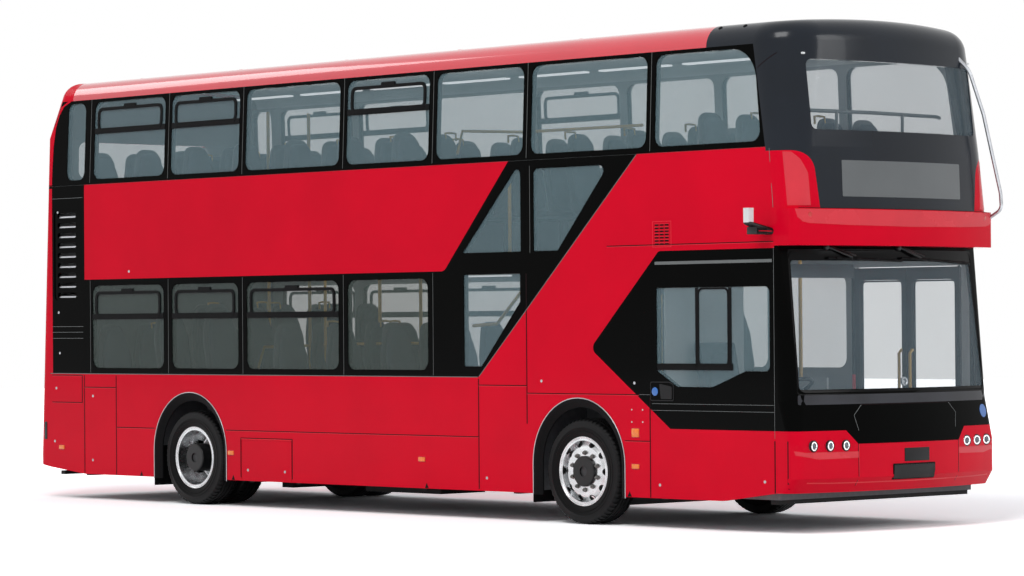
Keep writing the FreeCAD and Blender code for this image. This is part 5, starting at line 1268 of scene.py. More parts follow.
# Rear
@dataclass
class TailDetails:
    """Fittings of the rear.

    Attributes:
        skin: Surface of the rear.
        nodes: The frame's nodes.
    """

    skin: Skin
    nodes: dict[str, bpy.types.Object]

    def build(self) -> None:
        """Builds lamps, cover slats, plate and handles."""
        self._lamps()
        self._cover()
        self._seams()

    def _lamps(self) -> None:
        """Round rear lamps with bezels and ribbed lenses."""
        bezels = Piece("rear_lamp_bezels", Look.RUBBER, "black_paint")
        lenses = Piece("rear_lamp_rings", Look.RED_LENS, "lens_red")
        amber = Piece("rear_lamp_amber", Look.AMBER, "lens_amber")
        for low, high in islands(self.nodes["rear_lamps"]):
            middle = (low + high) / 2
            radius = (high.z - low.z) / 2
            point = Vector((low.x, middle.y, middle.z)) * MM
            back = Vector((-1, 0, 0))
            ring = [(-6, radius - 2), (-6, radius + 9), (5, radius + 7), (6, radius), (2, radius - 2)]
            bezels.lathe(ring, point, back, 40)
            target = amber if 1000 < middle.z < 1080 else lenses
            target.lathe([(0, 0), (0, radius - 4), (4, radius - 7), (6, radius * 0.6), (4, radius * 0.5),
                          (7, radius * 0.3), (7, 0)], point, back, 36)
        bezels.done(50.0)
        lenses.done(50.0)
        amber.done(50.0)

    def _cover(self) -> None:
        """Slats, handle and blank plate of the engine cover; the slats' lighter red edges over the shaded
        slots are a painted highlight.
        """
        low, _ = box_in_mm("rear_cover")
        # Lighter red slat edges: painted highlight.
        slats = Piece("cover_slats", Look.RED_HIGHLIGHT, "red_paint", "rear_cover")
        shade = Piece("cover_slots", Look.SEAM, "red_paint", "rear_cover")
        skin = Skin(self.nodes, ["rear_cover"])
        for row in range(9):
            z = low.z + 420 + row * 62
            for side in (-1, 1):
                left, right = sorted((side * 90, side * 620))
                slot = rounded(box_loop(left, z, right, z + 30), 14, 4)
                lay_panel(shade, skin, Side.REAR, [slot], SEAM_LIFT, SEAM_THICK, 120.0)
                lay_panel(slats, skin, Side.REAR, [box_loop(left, z + 27, right, z + 36)], 7.0, 7.0, 120.0)
        slats.done()
        shade.done()
        plate = Piece("rear_blank_plate", Look.PLATE, "black_paint", "rear_cover")
        blank = rounded(box_loop(-260, low.z + 150, 260, low.z + 261), 10, 3)
        lay_panel(plate, skin, Side.REAR, [blank], 5.0, 5.0, 120.0)
        plate.done()
        handle = Piece("cover_handles", Look.HUB, "frame_black", "rear_cover")
        for y in (-480, 480):
            point = skin.lay(Side.REAR, y, low.z + 205, 0)
            handle.lathe([(0, 0), (0, 26), (4, 24), (5, 12), (2, 10), (2, 0)], point, Vector((-1, 0, 0)), 24)
        handle.done()

    def _seams(self) -> None:
        """Seams of the rear panels and the small upright rubber lamps at its corners."""
        piece = Piece("rear_seams", Look.SEAM, "red_paint")
        lay_seam(piece, self.skin, Side.REAR, [(-1150, 3204), (1150, 3204)], 6.0, cell=80.0)
        lay_seam(piece, self.skin, Side.REAR, [(-1150, 2240), (1150, 2240)], 6.0, cell=80.0)
        piece.done()
        lamps = Piece("rear_corner_lamps", Look.HUB, "lens_red")
        for side in BODY_SIDES:
            sign = side.out().y
            point = self.skin.lay(side, -5225, 690, -2)
            low, high = point / MM - Vector((26, 8, 90)), point / MM + Vector((22, 8, 90))
            lamps.block(tuple(low), tuple(high), 7.0, 3)
        lamps.done()


# Wheels
@dataclass
class RoadWheels:
    """Tyres with tread, wheel nuts, hub caps and rim edges.

    Attributes:
        nodes: The frame's nodes.
        outer_plane: Middle plane of an outer wheel, from the middle of the bus.
        inner_plane: Middle plane of a rear wheel's inner twin.
        nut_circle: Radius of the circle of wheel nuts.
        nuts: Number of wheel nuts.
        hub_circle: Radius of the circle of bolts on the hub cap.
        hub_bolts: Number of those bolts.
        rim_plane: Plane of the rim's outer edge.
        hole_plane: Plane of the front hand holes.
        hole_circle: Radius of their circle.
        holes: Number of hand holes.
        blocks: Number of tread blocks round a tyre.
        groove: Share of the radius to which the grooves between them are sunk.
    """

    nodes: dict[str, bpy.types.Object]
    outer_plane: float = 1102.5
    inner_plane: float = 792.5
    nut_circle: float = 162.0
    nuts: int = 10
    hub_circle: float = 98.0
    hub_bolts: int = 8
    rim_plane: float = 1220.0
    hole_plane: float = 1183.4
    hole_circle: float = 243.0
    holes: int = 10
    blocks: int = 60
    groove: float = 0.984

    def build(self) -> None:
        """Builds the fittings of all wheels."""
        for side, word in ((OFFSIDE, "offside"), (NEARSIDE, "nearside")):
            outer, inner = side * self.outer_plane, side * self.inner_plane
            self._tyre(f"front_tyre_{word}", f"front_wheel_{word}", FRONT_AXLE, [outer])
            self._tyre(f"rear_tyres_{word}", f"rear_wheel_{word}", REAR_AXLE, [outer, inner])
            self._fittings(f"front_wheel_{word}", f"front_wheel_{word}", FRONT_AXLE, side)
            self._fittings(f"rear_wheels_{word}", f"rear_wheel_{word}", REAR_AXLE, side)

    @staticmethod
    def _profile() -> list[Point]:
        """Section of a tyre: beads, sidewalls, shoulders and grooves.

        Returns:
            The section's points (along the axle, radius).
        """
        wall = [(100, 284), (112, 298), (123, 316), (132, 340), (134, 352), (130, 356), (133, 362),
                (136, 380), (133, 386), (130, 402), (126, 418), (127, 424), (124, 438), (117, 450),
                (106, 457), (92, 461)]
        tread = [(70, 461.5), (67, 449), (58, 449), (55, 461.8), (28, 462), (25, 450), (16, 450), (13, 462)]
        half = wall + tread
        return half + [(-along, radius) for along, radius in reversed(half)]

    def _tyre(self, node: str, body: str, axle: float, planes: Sequence[float]) -> None:
        """Tyres of one wheel, in place of the CAD tyre.

        Args:
            node: The CAD tyre.
            body: The body that it turns with.
            axle: Place of the axle.
            planes: Middle planes of the tyres.
        """
        piece = Piece(f"{node}_tread", Look.TYRE, "tyre_rubber", body)
        for plane in planes:
            known = set(piece.bm.faces)
            centre = at(axle, plane, HUB_LEVEL)
            piece.lathe(self._profile(), centre, Vector((0, 1, 0)), 2 * self.blocks)
            sunk = [face for face in piece.bm.faces
                    if face not in known and self._in_groove((face.calc_center_median() - centre) / MM)]
            made = bmesh.ops.extrude_face_region(piece.bm, geom=sunk)["geom"]
            for vert in vertices(made):
                offset = vert.co - centre
                vert.co = centre + Vector((offset.x, 0, offset.z)) * self.groove + Vector((0, offset.y, 0))
            old = [face for face in sunk if face.is_valid]
            bmesh.ops.delete(piece.bm, geom=old, context="FACES_ONLY")
        thing = piece.done(30.0)
        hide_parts(node)
        tint(thing, Look.TYRE_WALL, lambda place, normal: from_axle(place, axle) < 384)

    def _in_groove(self, place: Vector) -> bool:
        """Whether a place on the tyre, from its centre, lies between two shoulder blocks."""
        turn = atan2(place.z, place.x) / (2 * pi) * self.blocks
        return 80 < abs(place.y) < 125 and Vector((place.x, place.z)).length > 440 and turn % 1 < 0.5

    def _fittings(self, node: str, body: str, axle: float, side: int) -> None:
        """Nuts, studs, hub cap and rim edge of one wheel.

        Args:
            node: The CAD wheel.
            body: The body that it turns with.
            axle: Place of the axle.
            side: -1 for the offside, 1 for the nearside.
        """
        skin = Skin(self.nodes, [node])
        way = Side.OFFSIDE if side < 0 else Side.NEARSIDE
        out = way.out()
        nuts = Piece(f"{node}_nuts", Look.NUT, "rim_metal", body)
        for k in range(self.nuts):
            angle = 2 * pi * (k + 0.5) / self.nuts
            x, z = axle + self.nut_circle * cos(angle), HUB_LEVEL + self.nut_circle * sin(angle)
            place = skin.lay(way, x, z, -1)
            nuts.lathe([(0, 0), (0, 23), (3, 23), (4, 18), (21, 17), (24, 12), (24, 0)], place, out, 6)
            nuts.lathe([(20, 0), (20, 8), (32, 8), (34, 6), (34, 0)], place, out, 12)
        nuts.done(30.0)
        if axle > 0:
            self._hole_rims(node, body, axle, side)
        cap = Piece(f"{node}_hub_cap", Look.HUB, "black_paint", body)
        face = skin.lay(way, axle, HUB_LEVEL, 0)
        cap.lathe([(-4, 0), (-4, 118), (3, 116), (8, 108), (9, 84), (14, 80), (16, 66), (22, 60), (24, 40),
                   (22, 20), (24, 0)], face, out, 60)
        for k in range(self.hub_bolts):
            angle = 2 * pi * k / self.hub_bolts
            spot = face + Vector((cos(angle), 0, sin(angle))) * self.hub_circle * MM + out * 7 * MM
            cap.lathe([(0, 0), (0, 8), (6, 7), (7, 0)], spot, out, 8)
        cap.done(30.0)
        ring = Piece(f"{node}_rim_ring", Look.RIM, "rim_metal", body)
        ring.lathe([(-8, 296), (-2, 303), (2, 304), (4, 300), (2, 294), (-6, 288)],
                   at(axle, side * self.rim_plane, HUB_LEVEL), out, 96)
        ring.done(50.0)

    def _hole_rims(self, node: str, body: str, axle: float, side: int) -> None:
        """Dark rims round the hand holes in the disc's slope.

        Args:
            node: The CAD wheel.
            body: The body that it turns with.
            axle: Place of the axle.
            side: -1 for the offside, 1 for the nearside.
        """
        rims = Piece(f"{node}_hole_rims", Look.HUB, "rim_metal", body)
        for k in range(self.holes):
            angle = 2 * pi * k / self.holes
            across = Vector((cos(angle), 0, sin(angle)))
            spot = at(axle, side * self.hole_plane, HUB_LEVEL) + across * self.hole_circle * MM
            axis = (across * 0.567 + Vector((0, side, 0)) * 0.824).normalized()
            rims.lathe([(-3, 24.2), (1.4, 24.2), (1.6, 29), (0.6, 31.5), (-3, 31.5)], spot, axis, 32)
        rims.done(40.0)


def from_axle(place: Vector, axle: float) -> float:
    """Distance of a point in metres from an axle's line, in millimetres."""
    return Vector((place.x / MM - axle, place.z / MM - HUB_LEVEL)).length


def faces_in(place: Vector, normal: Vector, share: float) -> bool:
    """Whether a face of a body side looks at the middle of the bus by more than a share."""
    return normal.y * place.y < -share * abs(place.y)


def tint(thing: bpy.types.Object, look: Look, test: Callable[[Vector, Vector], bool]) -> None:
    """Gives some faces of a mesh another finish.

    Args:
        thing: The object.
        look: The other finish.
        test: Says from a face's middle and normal whether it takes the finish.
    """
    mesh = thing.data
    mesh.materials.append(look.value.material())
    index = len(mesh.materials) - 1
    for face in mesh.polygons:
        if test(face.center, face.normal):
            face.material_index = index


# Doors and camera arms
@dataclass
class DoorTrim:
    """Rubber edges and grab rails of the door leaves.

    Attributes:
        nodes: The frame's nodes.
    """

    nodes: dict[str, bpy.types.Object]

    def build(self) -> None:
        """Builds the trim of every leaf."""
        for door in ("exit", "entrance"):
            for place in ("rear", "front"):
                self._leaf(f"{door}_leaf_{place}", f"{door}_{place}_leaf", place == "rear")

    def _leaf(self, node: str, body: str, hinge_at_rear: bool) -> None:
        """Trim of one leaf.

        Args:
            node: The CAD leaf.
            body: The body that it swings with.
            hinge_at_rear: Whether its hinge lies at its rear edge.
        """
        skin = Skin(self.nodes, [node])
        low, high = box_in_mm(node)
        x0, x1, z0, z1 = low.x, high.x, low.z, high.z
        rubber = Piece(f"{node}_rubber", Look.RUBBER, "door_black", body)
        free = x1 - 12 if hinge_at_rear else x0 + 12
        lay_strip(rubber, skin, Side.NEARSIDE, [(free, z0 + 6), (free, z1 - 6)], 20.0, 4.0, 4.0)
        lay_strip(rubber, skin, Side.NEARSIDE, [(x0 + 8, z0 + 12), (x1 - 8, z0 + 12)], 16.0, 4.0, 4.0)
        pane = rounded(box_loop(x0 + 66, z0 + 128, x1 - 66, z1 - 126), 40, 5)
        lay_strip(rubber, skin, Side.NEARSIDE, pane, 14.0, 3.0, 4.0, closed=True)
        rubber.done()
        rail = Piece(f"{node}_rail", Look.YELLOW, "rail_yellow", body)
        x = x1 - 60 if hinge_at_rear else x0 + 60
        y = low.y - 34
        path = [at(x, low.y + 4, 900), at(x, y, 930), at(x, y, 1200), at(x, y, 1470),
                at(x, low.y + 4, 1500)]
        rail.tube(path, 14.0, 12)
        rail.done()


@dataclass
class ArmDetails:
    """Details of the two camera arms.

    Attributes:
        nodes: The frame's nodes.
    """

    nodes: dict[str, bpy.types.Object]

    def build(self) -> None:
        """Adds fins, lenses and bright joints to the arms."""
        fins = Piece("camera_arm_fins", Look.HUB, "black_paint")
        bright = Piece("camera_arm_joints", Look.CHROME, "black_paint")
        lenses = Piece("camera_lenses", Look.SCREEN_GLOW, "lens_clear")
        for low, high in islands(self.nodes["camera_arms"]):
            side = -1 if low.y < 0 else 1
            root, tip = (high.y, low.y) if side < 0 else (low.y, high.y)
            for k in range(6):
                y = root + side * (70 + 24 * k)
                a, b = sorted((y, y + side * 9))
                fins.block((low.x + 4, a, low.z + 2), (high.x - 4, b, low.z + 64), 3.0)
            point = at((low.x + high.x) / 2, tip - side * 30, high.z - 42)
            profile = [(0, 0), (0, 15), (4, 13), (8, 8), (9, 0)]
            lenses.lathe(profile, point - Vector((0.05, 0, 0)), Vector((-1, 0, 0)), 24)
            x, z = high.x - 8, low.z + 30
            bright.tube([at(x, root + side * 6, z), at(x, tip - side * 60, z)], 5.0, 8)
        fins.done()
        bright.done()
        lenses.done()


# Saloon
def back_outline(half: float, low: float, rise: float) -> list[Point]:
    """Outline of a seat's back seen from the front.

    Args:
        half: Half of its width in millimetres.
        low: Level of its lower edge.
        rise: Level of its top.

    Returns:
        The outline's points (across, up).
    """
    waist, neck, widest = half * 0.96, half * 0.60, 0.55 * rise
    corners = [(-waist, low), (-half, widest), (-neck, rise), (neck, rise), (half, widest), (waist, low)]
    return rounded(corners, 120, 6)


def add_mesh(piece: Piece, mesh: bpy.types.Mesh, place: Matrix) -> None:
    """Adds a placed copy of a mesh to a piece.

    Args:
        piece: The piece that receives it.
        mesh: The mesh.
        place: Matrix that puts it in its place.
    """
    known = len(piece.bm.verts)
    piece.bm.from_mesh(mesh)
    piece.bm.verts.ensure_lookup_table()
    bmesh.ops.transform(piece.bm, matrix=place, verts=piece.bm.verts[known:])


@dataclass
class Padding:
    """Cushions swollen by a short cloth simulation.

    Attributes:
        voxel: Size of the mesh cells in metres.
        cap: Farthest that a point may move, in metres.
        frames: Steps of the simulation.
        pressure: Pressure inside the cushion.
    """

    voxel: float = 0.026
    cap: float = 0.014
    frames: int = 20
    pressure: float = 4.0

    def cushion(self, low: Point3, high: Point3, corner: float) -> bpy.types.Mesh:
        """Mesh of a cushion between two corners.

        Args:
            low: Lowest corner in millimetres.
            high: Highest corner in millimetres.
            corner: Rounding of its edges.

        Returns:
            The cushion's mesh, in metres.
        """
        seed = Piece("seed", Look.FABRIC, "seat_fabric")
        seed.block(low, high, corner, 3)
        return self._swollen(seed)

    def back(self, half: float, rise: float, depth: float) -> bpy.types.Mesh:
        """Mesh of a seat's back, narrower above.

        Args:
            half: Half of its width in millimetres.
            rise: Its height.
            depth: Its thickness.

        Returns:
            The back's mesh, in metres.
        """
        seed = Piece("seed", Look.FABRIC, "seat_fabric")
        loop = [at(-depth / 2, y, z) for y, z in back_outline(half, 20, rise)]
        seed.prism(loop, Vector((depth * MM, 0, 0)))
        flat = [edge for edge in seed.bm.edges if abs(edge.verts[0].co.x - edge.verts[1].co.x) < 1e-6]
        bmesh.ops.bevel(seed.bm, geom=flat, offset=12 * MM, affect="EDGES", segments=3, profile=0.5,
                        material=-1)
        return self._swollen(seed)

    def _swollen(self, seed: Piece) -> bpy.types.Mesh:
        """Mesh of a seed form after the simulation.

        Args:
            seed: The plain form, used up here.
        """
        bmesh.ops.triangulate(seed.bm, faces=seed.bm.faces[:])
        mesh = bpy.data.meshes.new("cushion_seed")
        seed.bm.to_mesh(mesh)
        seed.bm.free()
        thing = bpy.data.objects.new("cushion_seed", mesh)
        scene = bpy.context.scene
        scene.collection.objects.link(thing)
        remesh = thing.modifiers.new("voxels", "REMESH")
        remesh.mode, remesh.voxel_size = "VOXEL", self.voxel
        start = bpy.data.meshes.new_from_object(thing.evaluated_get(bpy.context.evaluated_depsgraph_get()))
        thing.modifiers.clear()
        thing.data = start
        self._swell(thing, start)
        bpy.data.objects.remove(thing)
        return start

    def _swell(self, thing: bpy.types.Object, start: bpy.types.Mesh) -> None:
        """Runs the simulation and writes the capped result into the mesh.

        Args:
            thing: The object that is simulated.
            start: Its mesh.
        """
        scene = bpy.context.scene
        cloth = thing.modifiers.new("cloth", "CLOTH")
        cloth.settings.use_pressure = True
        cloth.settings.uniform_pressure_force = self.pressure
        cloth.settings.effector_weights.gravity = 0.0
        cloth.point_cache.frame_end = self.frames
        for step in range(1, self.frames + 1):
            scene.frame_set(step)
        shaped = thing.evaluated_get(bpy.context.evaluated_depsgraph_get()).to_mesh()
        moves = [after.co - before.co for before, after in zip(start.vertices, shaped.vertices)]
        thing.modifiers.clear()
        scene.frame_set(1)
        for vert, move in zip(start.vertices, moves):
            vert.co += move * min(1.0, self.cap / max(move.length, 1e-9))


@dataclass(frozen=True)
class SeatPair:
    """Place of a pair of seats.

    Attributes:
        front: Front edge of the cushions.
        level: Level of the cushions.
        middles: Middle lines of the two seats.
        floor: Level of the floor below.
    """

    front: float
    level: float
    middles: tuple[float, float]
    floor: float


@dataclass
class SaloonSeats:
    """Padded seats on the places of the CAD seats.

    Attributes:
        nodes: The frame's nodes.
        width: Width of one seat.
        depth: Depth of the cushion.
        rise: Height of the back over the cushion.
        lean: How far the back leans.
        gap: Gap between the pads and the sides of the seat.
        deck: Level that parts the lower saloon's seats from the upper saloon's.
    """

    nodes: dict[str, bpy.types.Object]
    width: float = 435.0
    depth: float = 430.0
    rise: float = 750.0
    lean: float = 130.0
    gap: float = 16.0
    deck: float = 2300.0

    def build(self) -> None:
        """Builds shells, pads, legs and handles of all seats."""
        pairs = [self._pair(low, high) for low, high in islands(self.nodes["saloon_seats"])]
        self._pads("lower_seat_pads", [pair for pair in pairs if pair.level < self.deck])
        self._pads("upper_seat_pads", [pair for pair in pairs if pair.level > self.deck])
        self._shells(pairs)
        self._handles(pairs)
        self._legs(pairs)

    def _pair(self, low: Vector, high: Vector) -> SeatPair:
        """Pair of seats that fills a box."""
        middles = (low.y + self.width / 2, high.y - self.width / 2)
        return SeatPair(high.x, high.z - self.rise, middles, low.z)

    def _slope(self) -> Matrix:
        """Turn of a leaning back."""
        return Matrix.Rotation(-atan2(self.lean, self.rise), 4, "Y")

    def _pads(self, name: str, pairs: Sequence[SeatPair]) -> None:
        """Cushions and backs of one saloon.

        Args:
            name: Name of the piece.
            pairs: The saloon's seats.
        """
        padding, half = Padding(), self.width / 2 - self.gap
        seat = padding.cushion((-self.depth + 66, -half, -52), (-16, half, -12), 16)
        back = padding.back(half, self.rise - 32, 44)
        piece = Piece(name, Look.FABRIC, "seat_fabric")
        for pair in pairs:
            for middle in pair.middles:
                add_mesh(piece, seat, Matrix.Translation(at(pair.front, middle, pair.level)))
                foot = Matrix.Translation(at(pair.front - self.depth + 42, middle, pair.level))
                add_mesh(piece, back, foot @ self._slope())
        thing = piece.done(60.0)

    def _shells(self, pairs: Sequence[SeatPair]) -> None:
        """Hard shells under the cushions and behind the backs, in place of the CAD seats.

        Args:
            pairs: All seats.
        """
        shells = Piece("seat_shells", Look.SEAT_SHELL, "seat_fabric")
        half = self.width / 2 - 3
        for pair in pairs:
            root = pair.front - self.depth
            for middle in pair.middles:
                shells.block((root + 2, middle - half, pair.level - 66),
                             (pair.front - 6, middle + half, pair.level - 50), 6.0)
                slope = Matrix.Translation(at(root + 4, middle, pair.level - 64)) @ self._slope()
                loop = [slope @ at(0, y, z) for y, z in back_outline(half, 4, self.rise + 50)]
                shells.prism(loop, slope.to_3x3() @ Vector((16 * MM, 0, 0)), 4.0)
        thing = shells.done()
        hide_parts("saloon_seats")

    def _handles(self, pairs: Sequence[SeatPair]) -> None:
        """Grab handle on the aisle side of each pair.

        Args:
            pairs: All seats.
        """
        handles = Piece("seat_handles", Look.YELLOW, "rail_yellow")
        for pair in pairs:
            side = 1 if pair.middles[0] > 0 else -1
            y = side * (min(abs(middle) for middle in pair.middles) - self.width / 2 + 40)
            x = pair.front - self.depth + 12 - self.lean
            top = pair.level + self.rise
            handles.tube([at(x + 4, y, top - 80), at(x - 2, y, top - 12), at(x - 2, y + side * 60, top - 8),
                          at(x - 2, y + side * 130, top - 12), at(x + 4, y + side * 130, top - 80)], 11.0, 10)
        handles.done(60.0)

    def _legs(self, pairs: Sequence[SeatPair]) -> None:
        """Pedestal and cross bar under each pair.

        Args:
            pairs: All seats.
        """
        legs = Piece("seat_legs", Look.FRAME, "frame_black")
        for pair in pairs:
            near, far = min(pair.middles) - 60, max(pair.middles) + 60
            centre, middle = pair.front - self.depth / 2, (near + far) / 2
            legs.block((centre - 26, middle - 40, pair.floor + 2),
                       (centre + 26, middle + 40, pair.level - 60), 6.0)
            legs.block((pair.front - self.depth + 40, near, pair.level - 74),
                       (pair.front - 40, far, pair.level - 60), 4.0)
        legs.done()


@dataclass
class SaloonFittings:
    """Ceiling lights and rails of both saloons.

    Attributes:
        pitch: Distance between the ceiling lights.
        length: Length of one light.
        aisle: Inner edge of the lights.
        edge: Outer edge of the lights.
        stair_side: Plane of the rails along the stair.
    """

    pitch: int = 1100
    length: float = 900.0
    aisle: float = 560.0
    edge: float = 640.0
    stair_side: float = -600.0

    def build(self) -> None:
        """Builds the fittings."""
        lights = Piece("saloon_lights", Look.LIGHT_STRIP, "cab_grey")
        for side in (OFFSIDE, NEARSIDE):
            low, high = sorted((side * self.aisle, side * self.edge))
            for x in range(-4400, 4300, self.pitch):
                lights.block((x, low, 2214), (x + self.length, high, 2228), 4.0)
                lights.block((x, low, 4120), (x + self.length, high, 4136), 4.0)
        lights.done()
        rails = Piece("upper_front_rail", Look.MOULDING, "rail_yellow")
        rails.tube([at(4880, -1020, 3520), at(4950, -900, 3524), at(4990, 0, 3528), at(4950, 900, 3524),
                    at(4880, 1020, 3520)], 16.0, 12)
        for y in (-420, 420):
            rails.tube([at(4975, y, 3100), at(4978, y, 3524)], 14.0, 12)
        rails.done(60.0)
        stair = Piece("stair_rails", Look.YELLOW, "rail_yellow")
        for radius, line in ((16.0, [(605, 1740), (930, 1756), (1274, 2060)]),
                             (14.0, [(-2571, 1336), (-2475, 1544), (-1459, 1563)]),
                             (15.0, [(-1532, 400), (-1532, 2230)]),
                             (14.0, [(-1100, 1572), (-26, 1580)]),
                             (14.0, [(400, 3341), (472, 3552), (1304, 3506), (2843, 3500)])):
            stair.tube([at(x, self.stair_side, z) for x, z in line], radius, 12)
        stair.done(60.0)


@dataclass
class CabInterior:
    """Instrument screens, sun blind and the driver's padded seat.

    Attributes:
        nodes: The frame's nodes.
        rise: Height of the driver's seat over its cushion.
        lean: How far its back leans.
        gap: Gap between the pads and the sides of the seat.
    """

    nodes: dict[str, bpy.types.Object]
    rise: float = 620.0
    lean: float = 130.0
    gap: float = 18.0

    def build(self) -> None:
        """Builds the cab's fittings."""
        self._seat()
        screen = Piece("instrument_screens", Look.SCREEN_GLOW, "cab_grey")
        skin = Skin(self.nodes, ["driver_controls"])
        for y in (-820, -560):
            top = skin.lay(Side.ROOF, 4900, y, 2) / MM
            screen.block((4880, y - 95, top.z), (4905, y + 95, top.z + 95), 8.0)
        screen.done()
        blind = Piece("cab_sun_blind", Look.CAB, "cab_grey")
        blind.block((4985, -1080, 2120), (5000, -240, 2236), 5.0)
        blind.done()

    def _seat(self) -> None:
        """Cushion and back of the driver's seat."""
        low, high = box_in_mm("driver_seat")
        middle, level = (low.y + high.y) / 2, high.z - self.rise
        half = (high.y - low.y) / 2 - self.gap
        padding = Padding(voxel=0.02)
        seat = padding.cushion((-400, -half, -20), (-10, half, 26), 20)
        back = padding.back(half, 560, 46)
        piece = Piece("driver_seat_pads", Look.FABRIC, "seat_fabric")
        add_mesh(piece, seat, Matrix.Translation(at(high.x, middle, level - 14)))
        slope = Matrix.Rotation(-atan2(self.lean, self.rise), 4, "Y")
        add_mesh(piece, back, Matrix.Translation(at(high.x - 404, middle, level)) @ slope)
        thing = piece.done(60.0)


# Studio
@dataclass
class Studio:
    """Pale floor, soft light and the camera.

    Attributes:
        half: Half size of the floor in metres.
        near: Distance at which the floor starts to glow.
        far: Distance at which it is as white as the backdrop.
        shade: Colour of the floor for light that reaches the bus.
        bright: Colour of the floor as it is seen.
        sky: Strength of the light from all round.
    """

    half: float = 60.0
    near: float = 6.0
    far: float = 20.0
    shade: float = 0.8
    bright: float = 1.7
    sky: float = 0.5

    def build(self) -> None:
        """Adds floor, world light, lamps and camera."""
        Camera.build()
        self._floor()
        self._world()
        self._lamp("key", (10.0, -16.0, 20.0), 9.0, 2300.0)
        self._lamp("fill", (24.0, 8.0, 12.0), 8.0, 900.0)
        self._lamp("back", (-20.0, -6.0, 16.0), 8.0, 500.0)

    def _floor(self) -> None:
        """The plain floor."""
        bm = bmesh.new()
        bmesh.ops.create_grid(bm, x_segments=2, y_segments=2, size=self.half)
        mesh = bpy.data.meshes.new("studio_floor")
        bm.to_mesh(mesh)
        bm.free()
        mesh.materials.append(self._floor_material())
        thing = bpy.data.objects.new("studio_floor", mesh)
        bpy.context.scene.collection.objects.link(thing)

    @staticmethod
    def _seen(tree: bpy.types.NodeTree) -> bpy.types.NodeSocket:
        """One for rays from the camera and for mirrored or refracted ones, nought for the rest.

        Args:
            tree: Node tree that receives the nodes.

        Returns:
            The socket with that value.
        """
        rays = tree.nodes.new("ShaderNodeLightPath")
        total = rays.outputs["Is Camera Ray"]
        for name in ("Is Glossy Ray", "Is Transmission Ray"):
            more = tree.nodes.new("ShaderNodeMath")
            more.operation = "MAXIMUM"
            tree.links.new(total, more.inputs[0])
            tree.links.new(rays.outputs[name], more.inputs[1])
            total = more.outputs[0]
        return total

    def _floor_material(self) -> bpy.types.Material:
        """Floor as white as the backdrop that keeps the shadow.

        Returns:
            Its material.
        """
        material = Look.GROUND.value.material()
        tree = material.node_tree
        seen = self._seen(tree)
        white = tree.nodes.new("ShaderNodeMapRange")
        white.inputs["To Min"].default_value = self.shade
        white.inputs["To Max"].default_value = self.bright
        tree.links.new(seen, white.inputs["Value"])
        paint = tree.nodes.new("ShaderNodeBsdfDiffuse")
        tree.links.new(white.outputs["Result"], paint.inputs["Color"])
        shine = tree.nodes.new("ShaderNodeEmission")
        both = tree.nodes.new("ShaderNodeAddShader")
        tree.links.new(paint.outputs[0], both.inputs[0])
        tree.links.new(shine.outputs[0], both.inputs[1])
        tree.links.new(both.outputs[0], tree.nodes["Material Output"].inputs["Surface"])
        reach = tree.nodes.new("ShaderNodeVectorMath")
        reach.operation = "LENGTH"
        tree.links.new(tree.nodes.new("ShaderNodeTexCoord").outputs["Object"], reach.inputs[0])
        rise = tree.nodes.new("ShaderNodeMapRange")
        rise.inputs["From Min"].default_value = self.near
        rise.inputs["From Max"].default_value = self.far
        tree.links.new(reach.outputs["Value"], rise.inputs["Value"])
        level = tree.nodes.new("ShaderNodeMath")
        level.operation = "MULTIPLY"
        tree.links.new(rise.outputs["Result"], level.inputs[1])
        tree.links.new(seen, level.inputs[0])
        tree.links.new(level.outputs[0], shine.inputs["Strength"])
        return material

    def _world(self) -> None:
        """White backdrop with softer light on the object."""
        world = bpy.data.worlds.new("studio")
        bpy.context.scene.world = world
        world.use_nodes = True
        tree = world.node_tree
        back = tree.nodes["Background"]
        back.inputs["Color"].default_value = (0.93, 0.96, 1.0, 1.0)
        back.inputs["Strength"].default_value = self.sky
        plain = tree.nodes.new("ShaderNodeBackground")
        plain.inputs["Color"].default_value = (1.0, 1.0, 1.0, 1.0)
        mix = tree.nodes.new("ShaderNodeMixShader")
        tree.links.new(self._seen(tree), mix.inputs[0])
        tree.links.new(back.outputs[0], mix.inputs[1])
        tree.links.new(plain.outputs[0], mix.inputs[2])
        tree.links.new(mix.outputs[0], tree.nodes["World Output"].inputs["Surface"])

    @staticmethod
    def _lamp(name: str, place: Point3, size: float, power: float) -> None:
        """Adds a soft lamp that looks at the bus.

        Args:
            name: Name of the lamp.
            place: Its place in metres.
            size: Side of its square.
            power: Its power in watts.
        """
        data = bpy.data.lights.new(name, "AREA")
        data.shape, data.size, data.energy = "SQUARE", size, power
        thing = bpy.data.objects.new(name, data)
        bpy.context.scene.collection.objects.link(thing)
        thing.location = place
        thing.rotation_mode = "QUATERNION"
        thing.rotation_quaternion = (Vector((0, 0, 2)) - Vector(place)).to_track_quat("-Z", "Y")


